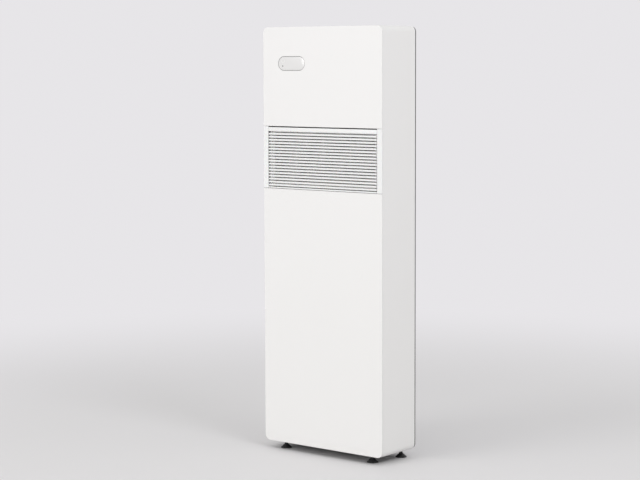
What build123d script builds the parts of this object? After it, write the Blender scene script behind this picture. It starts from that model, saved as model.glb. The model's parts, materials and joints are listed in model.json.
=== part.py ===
from build123d import *
import os

# A slim, tall, one-piece air conditioner that stands against a wall on four
# levelling feet. Millimetres, X to the right, the front faces -Y, Z is up, and
# the origin is on the floor under the middle of the whole object.

# Cabinet
WIDTH = 500.0
CASE_HEIGHT = 1398.0
FOOT_HEIGHT = 26.0
CASE_DEPTH = 178.0
SEAL_DEPTH = 7.0
CORNER_RADIUS = 20.0
SHEET = 1.2
TRAY_DEPTH = 3.0
SEAM = 1.5
EDGE_RADIUS = 0.6
LIP_WIDTH = 24.0
FRONT_RETURN = 14.0
REAR_RETURN = 22.8
RETURN_HEIGHT = 13.0
RETURN_ENDS = (60.0, 1390.0)
PLAY = 0.5
PANEL_PLAY = 0.2
FACE_PLAY = 0.1
CUT_THROUGH = 6.0
OVERLAP = 1.0

SIDE = WIDTH / 2
FRONT = -(CASE_DEPTH + SEAL_DEPTH) / 2
BACK = FRONT + CASE_DEPTH
WALL_FACE = BACK + SEAL_DEPTH
BOTTOM = FOOT_HEIGHT
TOP = BOTTOM + CASE_HEIGHT
TRAY_BACK = FRONT + TRAY_DEPTH
SHELL_FRONT = TRAY_BACK + SEAM
LIP_END = SIDE - LIP_WIDTH
DECK_END = LIP_END - PLAY
INSIDE = SIDE - SHEET

# Base pan, weld nuts and levelling feet
PAN_SHEET = 1.5
FOOT_PLACES = {
    "front_left": (-185.0, -59.0),
    "front_right": (185.0, -59.0),
    "rear_left": (-210.0, 64.0),
    "rear_right": (210.0, 64.0),
}
STUD_RADIUS = 5.0
STUD_TOP = 45.0
STUD_PLAY = 0.08
STUD_HOLE = 6.0
NUT_WIDTH = 17.0
NUT_HEIGHT = 8.0
PAD_RADIUS = 19.0
PAD_NECK_RADIUS = 11.0
PAD_RIM = 2.5
PAD_HEIGHT = 10.0
PAD_SOCKET = 6.0
COLLAR_WIDTH = 12.0
COLLAR = (11.0, 15.0)
STUD_CHAMFER = 1.0

# Rear panel, its seal, screws and the wall bracket
REAR_BACK = BACK - SHEET - PANEL_PLAY
RETURN_BACK = REAR_BACK - 3.0
REAR_MARGIN = 2.5
SCREW_X = 232.0
SCREW_HEIGHTS = (100.0, 400.0, 700.0, 1000.0, 1300.0)
SCREW_RADIUS = 1.95
SCREW_HOLE = 2.1
SCREW_LENGTH = 6.0
SCREW_HEAD = 3.5
SCREW_HEAD_HEIGHT = 2.0
SEAL_INSET = 1.5
SEAL_WIDTH = 10.0
BRACKET_X = (-180.0, 180.0)
BRACKET_Z = (1236.0, 1304.0)
BRACKET_SHEET = 2.0
BRACKET_BACK = 92.3
BRACKET_HOLE = 3.5
BRACKET_SPACING_X = 300.0
BRACKET_SPACING_Z = 48.0
HOOK_X = 110.0
HOOK_WIDTH = 30.0
HOOK_TIP = 79.0
HOOK_Z = 1262.0
HOOK_LIP = 14.0
HOOK_SLOT = (34.0, 22.0)

# Air ducts through the rear, for pipes of 160 mm
DUCT_X = 130.0
INTAKE_Z = 475.0
EXHAUST_Z = 735.0
DUCT_BORE = 81.0
DUCT_WALL = 2.0
DUCT_LENGTH = 30.0
DUCT_BACK = 92.0
DUCT_FLANGE = 92.0
DUCT_HOLE = 84.0

# Supply cable's gland and the condensate outlet
GLAND_PLACE = (200.0, 100.0)
GLAND_RADIUS = 8.0
GLAND_FLANGE = 12.0
GLAND_FLANGE_THICKNESS = 2.0
GLAND_BORE = 4.5
GLAND_Y = (76.0, 92.0)
SPOUT_PLACE = (-213.0, 76.0)
SPOUT_RADIUS = 8.0
SPOUT_BORE = 5.0
SPOUT_FLANGE = 14.0
SPOUT_HOLE = 11.0
SPOUT_Y = (74.0, 92.0)
SPOUT_FLANGE_Y = (80.0, 82.6)
HOLE_PLAY = 0.3

# Intake grille and its frame
GRILLE_ZONE = (887.5, 1094.5)
PANEL_GAP = 1.0
POST_WIDTH = 20.0
POST_WALL = 2.5
POST_DEPTH = 24.5
RAIL_Y = (-77.0, -68.0)
LOWER_RAIL_Z = (872.0, 887.2)
UPPER_RAIL_Z = (1097.2, 1109.0)
GRILLE_X = 229.0
GRILLE_Z = (888.0, 1090.4)
GRILLE_DEPTH = 12.5
TOP_BAND = 12.2
BOTTOM_BAND = 4.3
HINGE_EDGE = 4.0
PIN_RADIUS = 2.0
PIN_LENGTH = 2.4
PIN_PLAY = 0.05
PIN_BORE_DEPTH = 3.8
SLAT_COUNT = 19
SLAT_PITCH = 10.04
LAST_SLOT = 894.5
SLAT_HEIGHT = 5.7
SLAT_FACE = 3.3
SLAT_DEPTH = 10.0
SLAT_END = 0.4
RIB_WIDTH = 1.6
RIB_Y = (-84.0, -80.0)
RIB_PLACES = (-150.0, -75.0, 0.0, 75.0, 150.0)
SIDE_BAR = 7.0
FILTER_X = 222.0
FILTER_Z = (896.0, 1084.0)
FILTER_Y = (-79.8, -74.0)
FILTER_BAR = 9.0
MESH_Y = (-77.4, -76.6)

# Display
DISPLAY_PLACE = (-127.0, 1303.6)
DISPLAY_SIZE = (114.0, 47.0)
DISPLAY_GROOVE = 0.9
DISPLAY_FLOOR = -88.0
DISPLAY_FLANGE = 4.0
LENS_DEPTH = 2.2
LENS_PLAY = 0.05
GASKET_RECESS = 0.5
GASKET_WALL = 1.0
BOARD_SIZE = (100.0, 36.0)
BOARD_Y = (-87.8, -86.2)

# Bulkheads, insulation and condensate tray
LOWER_BULKHEAD_Z = (335.0, 336.5)
MID_BULKHEAD_Z = (862.0, 870.0)
BULKHEAD_X = 246.5
BULKHEAD_Y = (-84.0, 82.0)
HOSE_HOLE = (-213.0, 32.0)
HOSE_HOLE_RADIUS = 9.0
HARNESS_HOLE = (-240.0, -50.0)
HARNESS_HOLE_RADIUS = 4.0
PIPE_HOLES = ((226.0, 30.0), (226.0, 56.0))
PIPE_HOLE_RADIUS = 7.5
INSULATION_X = 222.0
INSULATION_Y = (71.5, 82.0)
INSULATION_Z = (905.0, 1395.0)
TRAY_X = 222.0
TRAY_Y = (-66.5, 44.0)
TRAY_Z = (876.0, 894.0)
TRAY_WALL = 2.0

# Evaporator and condenser coils
TUBE_RADIUS = 3.5
EVAPORATOR_X = 207.0
EVAPORATOR_Y = (-64.0, -30.0)
EVAPORATOR_Z = (898.0, 1092.0)
EVAPORATOR_PITCH = 9.0
EVAPORATOR_ROWS = 8
CONDENSER_X = 205.0
CONDENSER_Y = (-46.0, -8.0)
CONDENSER_Z = (350.0, 606.0)
CONDENSER_PITCH = 10.0
CONDENSER_ROWS = 10
COIL_COLUMN_GAP = 19.0
FIN = 1.0
END_PLATE = 1.5

# Cross-flow blower and its air path
BLOWER_CENTRE = (6.0, 1215.0)
BLOWER_RADIUS = 50.0
BLOWER_X = 184.0
BLADE_COUNT = 30
BLADE_SIZE = (13.0, 1.4)
BLADE_TILT = 35.0
BLADE_RING = 43.0
WEB_BORE = 37.0
WEB = 3.0
WEB_PLACES = (-184.0, -92.8, -1.5, 89.8, 181.0)
HUB_RADIUS = 14.0
HUB_LENGTH = 12.0
BLOWER_SHAFT = 5.0
SHAFT_CLEARANCE = 1.0
SHAFT_ENDS = (-201.0, 208.0)
END_PLATE_X = (190.0, 191.5)
END_PLATE_Y = (-56.0, 68.0)
END_PLATE_Z = (1110.0, 1396.0)
BEARING_RADIUS = 11.0
BEARING_X = (-201.0, -191.5)
MOTOR_RADIUS = 42.0
MOTOR_X = (191.5, 240.0)
MOTOR_BORE_DEPTH = 20.0
MOTOR_ROUNDING = 4.0
SCROLL_RADIUS = 58.0
SCROLL_START = -90.0
SCROLL_END = 8.5
SCROLL_WALL = 2.5
DUCT_TOP = 1397.0
TONGUE_ROUTE = ((-48.0, 1397.0), (-48.0, 1290.0), (-32.0, 1259.0), (-44.0, 1262.0))

# Outlet in the top, and its flap
OUTLET_X = 200.0
OUTLET_Y = (-55.0, 41.0)
OUTLET_Z = (1399.0, 1424.0)
THROAT_X = 192.0
THROAT_Y = (-48.0, 35.2)
OUTLET_LIP = 6.0
OUTLET_LIP_THICKNESS = 2.2
OUTLET_LIP_TOP = TOP - SHEET - PANEL_PLAY
MOTOR_CUT_Z = (1416.2, TOP)
OUTLET_GAP = 0.3
GUARD_WIRE = 1.2
GUARD_Z = 1401.0
GUARD_PITCH = 16.0
GUARD_LONG_BARS = 5
FLAP_AXIS = (26.0, 1415.5)
FLAP_FRONT = -47.4
FLAP_X = 191.4
FLAP_THICKNESS = 3.0
FLAP_PIN = 3.0
FLAP_PIN_ENDS = (-206.0, 199.0)
FLAP_BORE_DEPTH = 20.0
FLAP_MOTOR_RADIUS = 13.0
FLAP_MOTOR_OFFSET = 7.0
FLAP_MOTOR_X = (-220.0, -202.0)
FLAP_MOTOR_BORE = 5.0

# Centrifugal fan of the outdoor half
FAN_CENTRE = (-72.0, 735.0)
FAN_RADIUS = 90.0
FAN_EYE = 72.0
FAN_BLADES = 32
FAN_BLADE = (17.0, 1.5)
FAN_BLADE_TILT = 30.0
FAN_Y = (-22.0, 36.0)
FAN_DISC = 2.5
FAN_HUB_RADIUS = 14.0
FAN_HUB_END = -2.0
FAN_SHAFT = 5.0
FAN_MOTOR_RADIUS = 48.0
FAN_MOTOR_Y = (-84.0, -36.0)
FAN_MOTOR_BORE = 24.0
FAN_MOTOR_ROUNDING = 5.0
VOLUTE_Y = (-34.0, 48.0)
VOLUTE_WALL = 2.0
VOLUTE_RADII = (98.0, 103.0, 108.0)
VOLUTE_START_Z = 735.0
VOLUTE_MOUTH_X = 46.0
FAN_MOTOR_HOLE = 30.0
BOX_X = (46.5, 216.0)
BOX_Y = (-34.0, 60.0)
BOX_Z = (640.0, 852.0)
BOX_WALL = 2.0

# Compressor compartment
COMPRESSOR_PLACE = (-140.0, -5.0)
COMPRESSOR_RADIUS = 58.0
COMPRESSOR_Z = (62.0, 302.0)
COMPRESSOR_DOME = 18.0
FOOT_PLATE_Z = (59.0, 62.0)
MOUNT_CIRCLE = 64.0
MOUNT_START = 60.0
MOUNT_RADIUS = 10.0
MOUNT_Z = (27.5, 59.0)
MOUNT_BOLT_HOLE = 4.0
MOUNT_EAR = 11.0
FOOT_PLATE_RADIUS = 52.0
ACCUMULATOR_PLACE = (-46.0, 22.0)
ACCUMULATOR_RADIUS = 24.0
ACCUMULATOR_Z = (100.0, 250.0)
ACCUMULATOR_DOME = 10.0
VALVE_PLACE = (-10.0, 296.0)
VALVE_Y = 50.0
VALVE_RADIUS = 13.0
VALVE_LENGTH = 92.0
VALVE_ROUNDING = 3.0
VALVE_CLEARANCE = 0.4
PILOT_OFFSET = 18.0
PILOT_NECK = 4.0
PIPE_RADIUS = 4.5
TIGHT_BEND = 5.85
RISER_BEND = 9.0
SUCTION_ROUTE = ((-46.0, 22.0, 250.0), (-46.0, 22.0, 267.0), (-30.0, 50.0, 267.0), (-30.0, 50.0, 282.6))
DISCHARGE_ROUTE = ((-140.0, -5.0, 302.5), (-140.0, -5.0, 322.0), (-40.0, 50.0, 322.0), (-40.0, 50.0, 309.4))
RISER_STARTS = (12.0, 26.0)
RISER_LOW = 240.0

# Electronics
BOX_SHEET = 1.0
ELECTRONICS_X = (36.0, 226.0)
ELECTRONICS_Y = (-78.0, -18.0)
ELECTRONICS_Z = (62.0, 318.0)
CONTROL_BOARD_X = (46.0, 216.0)
CONTROL_BOARD_Y = (-30.0, -28.4)
CONTROL_BOARD_Z = (74.0, 300.0)
CAPACITOR_PLACE = (80.0, 240.0)
CAPACITOR_RADIUS = 17.0
CAPACITOR_HEIGHT = 38.0
HEAT_SINK = ((130.0, 200.0), (-62.0, -30.0), (180.0, 270.0))
CHIP_SIZE = (24.0, 4.0, 24.0)
CHIP_PLACES = ((90.0, 130.0), (140.0, 140.0), (190.0, 130.0))
TERMINAL_SIZE = (14.0, 20.0, 24.0)
TERMINAL_PLACES = (110.0, 125.0, 140.0, 155.0, 170.0)
TERMINAL_Z = 87.0
HARNESS_RADIUS = 2.5
HARNESS_ROUTE = (
    (-127.0, -80.0, 1276.0),
    (-127.0, -80.0, 1250.0),
    (-240.0, -50.0, 1200.0),
    (-240.0, -50.0, 326.0),
    (-240.0, -76.0, 326.0),
    (100.0, -76.0, 326.0),
    (100.0, -50.0, 326.0),
    (100.0, -50.0, 318.0),
)
HARNESS_BENDS = (12.0, 30.0, 8.0, 8.0, 8.0, 5.0)
HOSE_RADIUS = 7.0
HOSE_BEND = 24.0


def facing(y):
    """The plane at a depth y that faces the front, with X across and Z up."""
    return Plane.XZ.offset(-y)


def block(x, y, z, mode=Mode.ADD):
    """Adds a box that spans three ranges to the piece being made."""
    with Locations(((x[0] + x[1]) / 2, (y[0] + y[1]) / 2, (z[0] + z[1]) / 2)):
        Box(x[1] - x[0], y[1] - y[0], z[1] - z[0], mode=mode)


def rod(start, direction, radius, length, mode=Mode.ADD):
    """Adds a cylinder that runs from a point along a direction."""
    with Locations(Plane(start, z_dir=direction)):
        Cylinder(radius, length, align=(Align.CENTER, Align.CENTER, Align.MIN), mode=mode)


def tube(points, radius, bends):
    """Adds a round tube along straight runs joined by tangent arcs."""
    with BuildLine(mode=Mode.PRIVATE) as route:
        FilletPolyline(*points, radius=bends)
    with BuildSketch(Plane(route.line @ 0, z_dir=route.line % 0), mode=Mode.PRIVATE) as section:
        Circle(radius)
    sweep(section.sketch, path=route.line)


def save(piece, name):
    """Labels a finished piece and writes it to its own file."""
    piece.part.label = name
    export_step(piece.part, f"parts/{name}.step")


os.makedirs("parts", exist_ok=True)


# Base pan: a folded tray under everything, with a weld nut over each stud hole
with BuildPart() as base_pan:
    block((-DECK_END, DECK_END), (SHELL_FRONT, BACK), (BOTTOM, BOTTOM + PAN_SHEET))
    for y in ((SHELL_FRONT, SHELL_FRONT + SHEET), (BACK - SHEET, BACK)):
        block((-DECK_END, DECK_END), y, (BOTTOM, BOTTOM + PAN_SHEET + RETURN_HEIGHT))
    for x in ((-DECK_END, -DECK_END + SHEET), (DECK_END - SHEET, DECK_END)):
        block(x, (SHELL_FRONT, RETURN_BACK), (BOTTOM, BOTTOM + RETURN_HEIGHT))
    with Locations(*[(x, y, BOTTOM) for x, y in FOOT_PLACES.values()]):
        Cylinder(STUD_HOLE, CUT_THROUGH, mode=Mode.SUBTRACT)
    with BuildSketch(Plane.XY.offset(BOTTOM + PAN_SHEET)) as nuts:
        with Locations(*FOOT_PLACES.values()):
            RegularPolygon(NUT_WIDTH / 2, 6, major_radius=False)
            Circle(STUD_RADIUS + STUD_PLAY, mode=Mode.SUBTRACT)
    extrude(nuts.sketch, amount=NUT_HEIGHT)
save(base_pan, "base_pan")

# Levelling feet: a tapered pad with a socket, and a stud with a spanner collar
for corner, (foot_x, foot_y) in FOOT_PLACES.items():
    with BuildPart() as foot_pad:
        with BuildSketch(Plane.XZ.offset(-foot_y)):
            with BuildLine():
                Polyline(
                    (foot_x, 0),
                    (foot_x + PAD_RADIUS, 0),
                    (foot_x + PAD_RADIUS, PAD_RIM),
                    (foot_x + PAD_NECK_RADIUS, PAD_HEIGHT),
                    (foot_x, PAD_HEIGHT),
                    close=True,
                )
            make_face()
        revolve(axis=Axis((foot_x, foot_y, 0), (0, 0, 1)))
        rod((foot_x, foot_y, PAD_HEIGHT), (0, 0, -1), STUD_RADIUS + STUD_PLAY, PAD_SOCKET, Mode.SUBTRACT)
    save(foot_pad, f"foot_pad_{corner}")
    with BuildPart() as foot_stud:
        stud_foot = PAD_HEIGHT - PAD_SOCKET + STUD_PLAY
        rod((foot_x, foot_y, stud_foot), (0, 0, 1), STUD_RADIUS, STUD_TOP - stud_foot)
        chamfer(foot_stud.edges().sort_by(Axis.Z)[-1], STUD_CHAMFER)
        with BuildSketch(Plane.XY.offset(COLLAR[0])):
            with Locations((foot_x, foot_y)):
                RegularPolygon(COLLAR_WIDTH / 2, 6, major_radius=False)
        extrude(amount=COLLAR[1] - COLLAR[0])
    save(foot_stud, f"foot_stud_{corner}")

# Left side panel: one sheet bent round both corners, with folded returns
with BuildPart() as left_side_panel:
    with BuildSketch(facing(BACK)):
        with BuildLine():
            FilletPolyline(
                (-LIP_END, TOP),
                (-SIDE, TOP),
                (-SIDE, BOTTOM),
                (-LIP_END, BOTTOM),
                radius=CORNER_RADIUS,
            )
            offset(amount=SHEET, side=Side.LEFT)
        make_face()
    extrude(amount=BACK - SHELL_FRONT)
    for z in ((TOP - RETURN_HEIGHT, TOP), (BOTTOM, BOTTOM + RETURN_HEIGHT)):
        block((-LIP_END - SHEET, -LIP_END), (SHELL_FRONT, RETURN_BACK), z)
    block((-SIDE, -INSIDE + FRONT_RETURN), (SHELL_FRONT, SHELL_FRONT + SHEET), RETURN_ENDS)
    block((-SIDE, -INSIDE + REAR_RETURN), (BACK - SHEET, BACK), RETURN_ENDS)
    with Locations(*[Plane((-SCREW_X, BACK, z), z_dir=(0, 1, 0)) for z in SCREW_HEIGHTS]):
        Cylinder(SCREW_HOLE, CUT_THROUGH, mode=Mode.SUBTRACT)
save(left_side_panel, "left_side_panel")

# Right side panel: the left one's mirror image
with BuildPart() as right_side_panel:
    mirror(left_side_panel.part, about=Plane.YZ)
save(right_side_panel, "right_side_panel")

# Top panel: a folded sheet with the outlet's cut-out
with BuildPart() as top_panel:
    block((-DECK_END, DECK_END), (SHELL_FRONT, BACK), (TOP - SHEET, TOP))
    for y in ((SHELL_FRONT, SHELL_FRONT + SHEET), (BACK - SHEET, BACK)):
        block((-DECK_END, DECK_END), y, (TOP - RETURN_HEIGHT, TOP))
    for x in ((-DECK_END, -DECK_END + SHEET), (DECK_END - SHEET, DECK_END)):
        block(x, (SHELL_FRONT, RETURN_BACK), (TOP - RETURN_HEIGHT, TOP))
    block(
        (-OUTLET_X - OUTLET_GAP, OUTLET_X + OUTLET_GAP),
        (OUTLET_Y[0] - OUTLET_GAP, OUTLET_Y[1] + OUTLET_GAP),
        (TOP - CUT_THROUGH, TOP),
        Mode.SUBTRACT,
    )
save(top_panel, "top_panel")

# Rear panel: lies in front of the folded returns, with every rear opening
with BuildPart() as rear_panel:
    with BuildSketch(facing(REAR_BACK)):
        with Locations((0, (TOP + BOTTOM) / 2)):
            RectangleRounded(
                WIDTH - 2 * REAR_MARGIN,
                CASE_HEIGHT - 2 * REAR_MARGIN,
                CORNER_RADIUS - REAR_MARGIN,
            )
        with Locations((DUCT_X, INTAKE_Z), (DUCT_X, EXHAUST_Z)):
            Circle(DUCT_HOLE, mode=Mode.SUBTRACT)
        with Locations(GLAND_PLACE):
            Circle(GLAND_RADIUS + HOLE_PLAY, mode=Mode.SUBTRACT)
        with Locations(SPOUT_PLACE):
            Circle(SPOUT_HOLE, mode=Mode.SUBTRACT)
        with Locations(*[(side * SCREW_X, z) for side in (-1, 1) for z in SCREW_HEIGHTS]):
            Circle(SCREW_HOLE, mode=Mode.SUBTRACT)
        with Locations(*[(side * HOOK_X, HOOK_Z + HOOK_LIP / 2) for side in (-1, 1)]):
            Rectangle(*HOOK_SLOT, mode=Mode.SUBTRACT)
    extrude(amount=SHEET)
save(rear_panel, "rear_panel")

# Rear seal: a foam ring between the casing's rear edge and the wall
with BuildPart() as rear_seal:
    with BuildSketch(facing(WALL_FACE)):
        with Locations((0, (TOP + BOTTOM) / 2)):
            RectangleRounded(
                WIDTH - 2 * SEAL_INSET,
                CASE_HEIGHT - 2 * SEAL_INSET,
                CORNER_RADIUS - SEAL_INSET,
            )
            RectangleRounded(
                WIDTH - 2 * (SEAL_INSET + SEAL_WIDTH),
                CASE_HEIGHT - 2 * (SEAL_INSET + SEAL_WIDTH),
                CORNER_RADIUS - SEAL_INSET - SEAL_WIDTH,
                mode=Mode.SUBTRACT,
            )
    extrude(amount=SEAL_DEPTH)
save(rear_seal, "rear_seal")

# Casing screws: pan heads on the rear returns
with BuildPart() as casing_screws:
    for side in (-1, 1):
        for z in SCREW_HEIGHTS:
            rod((side * SCREW_X, BACK, z), (0, 1, 0), SCREW_HEAD, SCREW_HEAD_HEIGHT)
            rod((side * SCREW_X, BACK, z), (0, -1, 0), SCREW_RADIUS, SCREW_LENGTH)
save(casing_screws, "casing_screws")

# Wall bracket: a screwed-on strip whose hooks catch the rear panel
with BuildPart() as wall_bracket:
    block(BRACKET_X, (BRACKET_BACK - BRACKET_SHEET, BRACKET_BACK), BRACKET_Z)
    for side in (-1, 1):
        hook_x = (side * HOOK_X - HOOK_WIDTH / 2, side * HOOK_X + HOOK_WIDTH / 2)
        block(hook_x, (HOOK_TIP, BRACKET_BACK), (HOOK_Z, HOOK_Z + BRACKET_SHEET))
        block(hook_x, (HOOK_TIP, HOOK_TIP + BRACKET_SHEET), (HOOK_Z, HOOK_Z + HOOK_LIP))
    with BuildSketch(facing(BRACKET_BACK)):
        with Locations((0, sum(BRACKET_Z) / 2)):
            with GridLocations(BRACKET_SPACING_X, BRACKET_SPACING_Z, 2, 2):
                Circle(BRACKET_HOLE)
    extrude(amount=2 * BRACKET_SHEET, mode=Mode.SUBTRACT)
save(wall_bracket, "wall_bracket")

# Duct collars: flanged sleeves that take the intake and exhaust pipes
with BuildPart() as duct_collars:
    for z in (INTAKE_Z, EXHAUST_Z):
        start = (DUCT_X, DUCT_BACK, z)
        rod(start, (0, -1, 0), DUCT_BORE + DUCT_WALL, DUCT_LENGTH)
        flange_start = (DUCT_X, REAR_BACK - SHEET - PANEL_PLAY, z)
        rod(flange_start, (0, -1, 0), DUCT_FLANGE, DUCT_WALL)
        rod(start, (0, -1, 0), DUCT_BORE, DUCT_LENGTH, Mode.SUBTRACT)
save(duct_collars, "duct_collars")

# Cable gland: a flanged bush through the rear panel
with BuildPart() as cable_gland:
    gland_start = (GLAND_PLACE[0], GLAND_Y[0], GLAND_PLACE[1])
    rod(gland_start, (0, 1, 0), GLAND_RADIUS, GLAND_Y[1] - GLAND_Y[0])
    flange_start = (GLAND_PLACE[0], REAR_BACK + FACE_PLAY, GLAND_PLACE[1])
    rod(flange_start, (0, 1, 0), GLAND_FLANGE, GLAND_FLANGE_THICKNESS)
    rod(gland_start, (0, 1, 0), GLAND_BORE, GLAND_Y[1] - GLAND_Y[0], Mode.SUBTRACT)
save(cable_gland, "cable_gland")


def front_tray(bottom, top, rounded):
    """Adds a shallow folded tray whose floor is the cabinet's front face."""
    for inset, depth, mode in ((0, TRAY_DEPTH, Mode.ADD), (SHEET, TRAY_DEPTH - SHEET, Mode.SUBTRACT)):
        with BuildSketch(facing(TRAY_BACK)) as outline:
            with Locations((0, (bottom + top) / 2)):
                Rectangle(WIDTH - 2 * inset, top - bottom - 2 * inset)
            fillet(outline.vertices().group_by(Axis.Y)[rounded], CORNER_RADIUS - inset)
        extrude(outline.sketch, amount=depth, mode=mode)


# Lower front panel
with BuildPart() as lower_front_panel:
    front_tray(BOTTOM, GRILLE_ZONE[0] - PANEL_GAP, 0)
    fillet(lower_front_panel.faces().sort_by(Axis.Y)[0].edges(), EDGE_RADIUS)
save(lower_front_panel, "lower_front_panel")

# Upper front panel, with the display's pill-shaped hole
with BuildPart() as upper_front_panel:
    front_tray(GRILLE_ZONE[1] + PANEL_GAP, TOP, -1)
    fillet(upper_front_panel.faces().sort_by(Axis.Y)[0].edges(), EDGE_RADIUS)
    with BuildSketch(facing(TRAY_BACK)):
        with Locations(DISPLAY_PLACE):
            SlotOverall(*DISPLAY_SIZE)
    extrude(amount=TRAY_DEPTH, mode=Mode.SUBTRACT)
save(upper_front_panel, "upper_front_panel")

# Display gasket: a dark frame that fills the groove round the lens and carries it
with BuildPart() as display_gasket:
    with BuildSketch(facing(DISPLAY_FLOOR)):
        with Locations(DISPLAY_PLACE):
            SlotOverall(DISPLAY_SIZE[0] + 2 * DISPLAY_FLANGE, DISPLAY_SIZE[1] + 2 * DISPLAY_FLANGE)
    extrude(amount=DISPLAY_FLOOR - FRONT - SHEET)
    with BuildSketch(facing(FRONT + SHEET)):
        with Locations(DISPLAY_PLACE):
            SlotOverall(DISPLAY_SIZE[0] - FACE_PLAY, DISPLAY_SIZE[1] - FACE_PLAY)
    extrude(amount=SHEET - GASKET_RECESS)
    with BuildSketch(facing(DISPLAY_FLOOR - GASKET_WALL)):
        with Locations(DISPLAY_PLACE):
            SlotOverall(DISPLAY_SIZE[0] - 2 * DISPLAY_GROOVE, DISPLAY_SIZE[1] - 2 * DISPLAY_GROOVE)
    extrude(amount=TRAY_DEPTH + SHEET, mode=Mode.SUBTRACT)
save(display_gasket, "display_gasket")

# Display lens: flush with the panel, seated in the gasket
with BuildPart() as display_lens:
    with BuildSketch(facing(FRONT + LENS_DEPTH)):
        with Locations(DISPLAY_PLACE):
            lens_groove = DISPLAY_GROOVE + LENS_PLAY
            SlotOverall(DISPLAY_SIZE[0] - 2 * lens_groove, DISPLAY_SIZE[1] - 2 * lens_groove)
    extrude(amount=LENS_DEPTH)
save(display_lens, "display_lens")

# Display board: behind the gasket
with BuildPart() as display_board:
    with Locations((DISPLAY_PLACE[0], sum(BOARD_Y) / 2, DISPLAY_PLACE[1])):
        Box(BOARD_SIZE[0], BOARD_Y[1] - BOARD_Y[0], BOARD_SIZE[1])
save(display_board, "display_board")

# Grille frame: two posts flush with the panels, joined by hidden rails
POST_INNER = SIDE - POST_WIDTH
HINGE_Y = FRONT + HINGE_EDGE
HINGE_Z = GRILLE_Z[0] + HINGE_EDGE
with BuildPart() as grille_frame:
    for side in (-1, 1):
        post_x = sorted((side * POST_INNER, side * SIDE))
        block(post_x, (FRONT, TRAY_BACK), GRILLE_ZONE)
    fillet(grille_frame.faces().filter_by(Axis.Y).group_by(Axis.Y)[0].edges(), EDGE_RADIUS)
    for side in (-1, 1):
        wall_x = sorted((side * POST_INNER, side * (POST_INNER + POST_WALL)))
        block(wall_x, (TRAY_BACK - OVERLAP, FRONT + POST_DEPTH), GRILLE_ZONE)
        block(wall_x, RAIL_Y, (LOWER_RAIL_Z[0], UPPER_RAIL_Z[1]))
    for z in (LOWER_RAIL_Z, UPPER_RAIL_Z):
        block((-POST_INNER, POST_INNER), RAIL_Y, z)
    for side in (-1, 1):
        bore_start = (side * (POST_INNER - OVERLAP), HINGE_Y, HINGE_Z)
        rod(bore_start, (side, 0, 0), PIN_RADIUS + PIN_PLAY, PIN_BORE_DEPTH, Mode.SUBTRACT)
save(grille_frame, "grille_frame")

# Intake grille: louvre slats between two bands, with pins low at the front
with BuildPart() as intake_grille:
    grille_back = FRONT + GRILLE_DEPTH
    band_z = (GRILLE_Z[1] - TOP_BAND, GRILLE_Z[1])
    block((-GRILLE_X, GRILLE_X), (FRONT, grille_back), band_z)
    block((-GRILLE_X, GRILLE_X), (FRONT, grille_back), (GRILLE_Z[0], GRILLE_Z[0] + BOTTOM_BAND))
    hinge_edge = intake_grille.edges().filter_by(Axis.X).group_by(Axis.Z)[0].sort_by(Axis.Y)[0]
    fillet(hinge_edge, HINGE_EDGE)
    with BuildSketch(Plane.YZ.offset(-GRILLE_X + SLAT_END)) as slats:
        for i in range(SLAT_COUNT - 1):
            slat_z = LAST_SLOT + SLAT_PITCH * (i + 0.5)
            low = slat_z - SLAT_HEIGHT / 2
            high = slat_z + SLAT_HEIGHT / 2
            with BuildLine():
                Polyline(
                    (FRONT, low),
                    (FRONT, low + SLAT_FACE),
                    (FRONT + SLAT_DEPTH, high),
                    (FRONT + SLAT_DEPTH, high - SLAT_FACE),
                    close=True,
                )
            make_face()
    extrude(slats.sketch, amount=2 * (GRILLE_X - SLAT_END))
    for x in [(place - RIB_WIDTH / 2, place + RIB_WIDTH / 2) for place in RIB_PLACES]:
        block(x, RIB_Y, GRILLE_Z)
    for x in ((-GRILLE_X, -GRILLE_X + SIDE_BAR), (GRILLE_X - SIDE_BAR, GRILLE_X)):
        block(x, RIB_Y, GRILLE_Z)
    for side in (-1, 1):
        pin_root = (side * (GRILLE_X - OVERLAP), HINGE_Y, HINGE_Z)
        rod(pin_root, (side, 0, 0), PIN_RADIUS, PIN_LENGTH + OVERLAP)
save(intake_grille, "intake_grille")

# Air filter: a frame and its mesh, clipped behind the grille
with BuildPart() as filter_frame:
    block((-FILTER_X, FILTER_X), FILTER_Y, FILTER_Z)
    block(
        (-FILTER_X + FILTER_BAR, FILTER_X - FILTER_BAR),
        FILTER_Y,
        (FILTER_Z[0] + FILTER_BAR, FILTER_Z[1] - FILTER_BAR),
        Mode.SUBTRACT,
    )
save(filter_frame, "filter_frame")
with BuildPart() as filter_mesh:
    block(
        (-FILTER_X + FILTER_BAR, FILTER_X - FILTER_BAR),
        MESH_Y,
        (FILTER_Z[0] + FILTER_BAR, FILTER_Z[1] - FILTER_BAR),
    )
save(filter_mesh, "filter_mesh")

# Bulkheads: one over the compressor, one between the outdoor and indoor halves
for name, bulkhead_z in (("lower_bulkhead", LOWER_BULKHEAD_Z), ("mid_bulkhead", MID_BULKHEAD_Z)):
    with BuildPart() as bulkhead:
        with BuildSketch(Plane.XY.offset(bulkhead_z[0])):
            with Locations((0, sum(BULKHEAD_Y) / 2)):
                Rectangle(2 * BULKHEAD_X, BULKHEAD_Y[1] - BULKHEAD_Y[0])
            with Locations(HOSE_HOLE):
                Circle(HOSE_HOLE_RADIUS, mode=Mode.SUBTRACT)
            with Locations(HARNESS_HOLE):
                Circle(HARNESS_HOLE_RADIUS, mode=Mode.SUBTRACT)
            with Locations(*PIPE_HOLES):
                Circle(PIPE_HOLE_RADIUS, mode=Mode.SUBTRACT)
        extrude(amount=bulkhead_z[1] - bulkhead_z[0])
    save(bulkhead, name)

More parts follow.
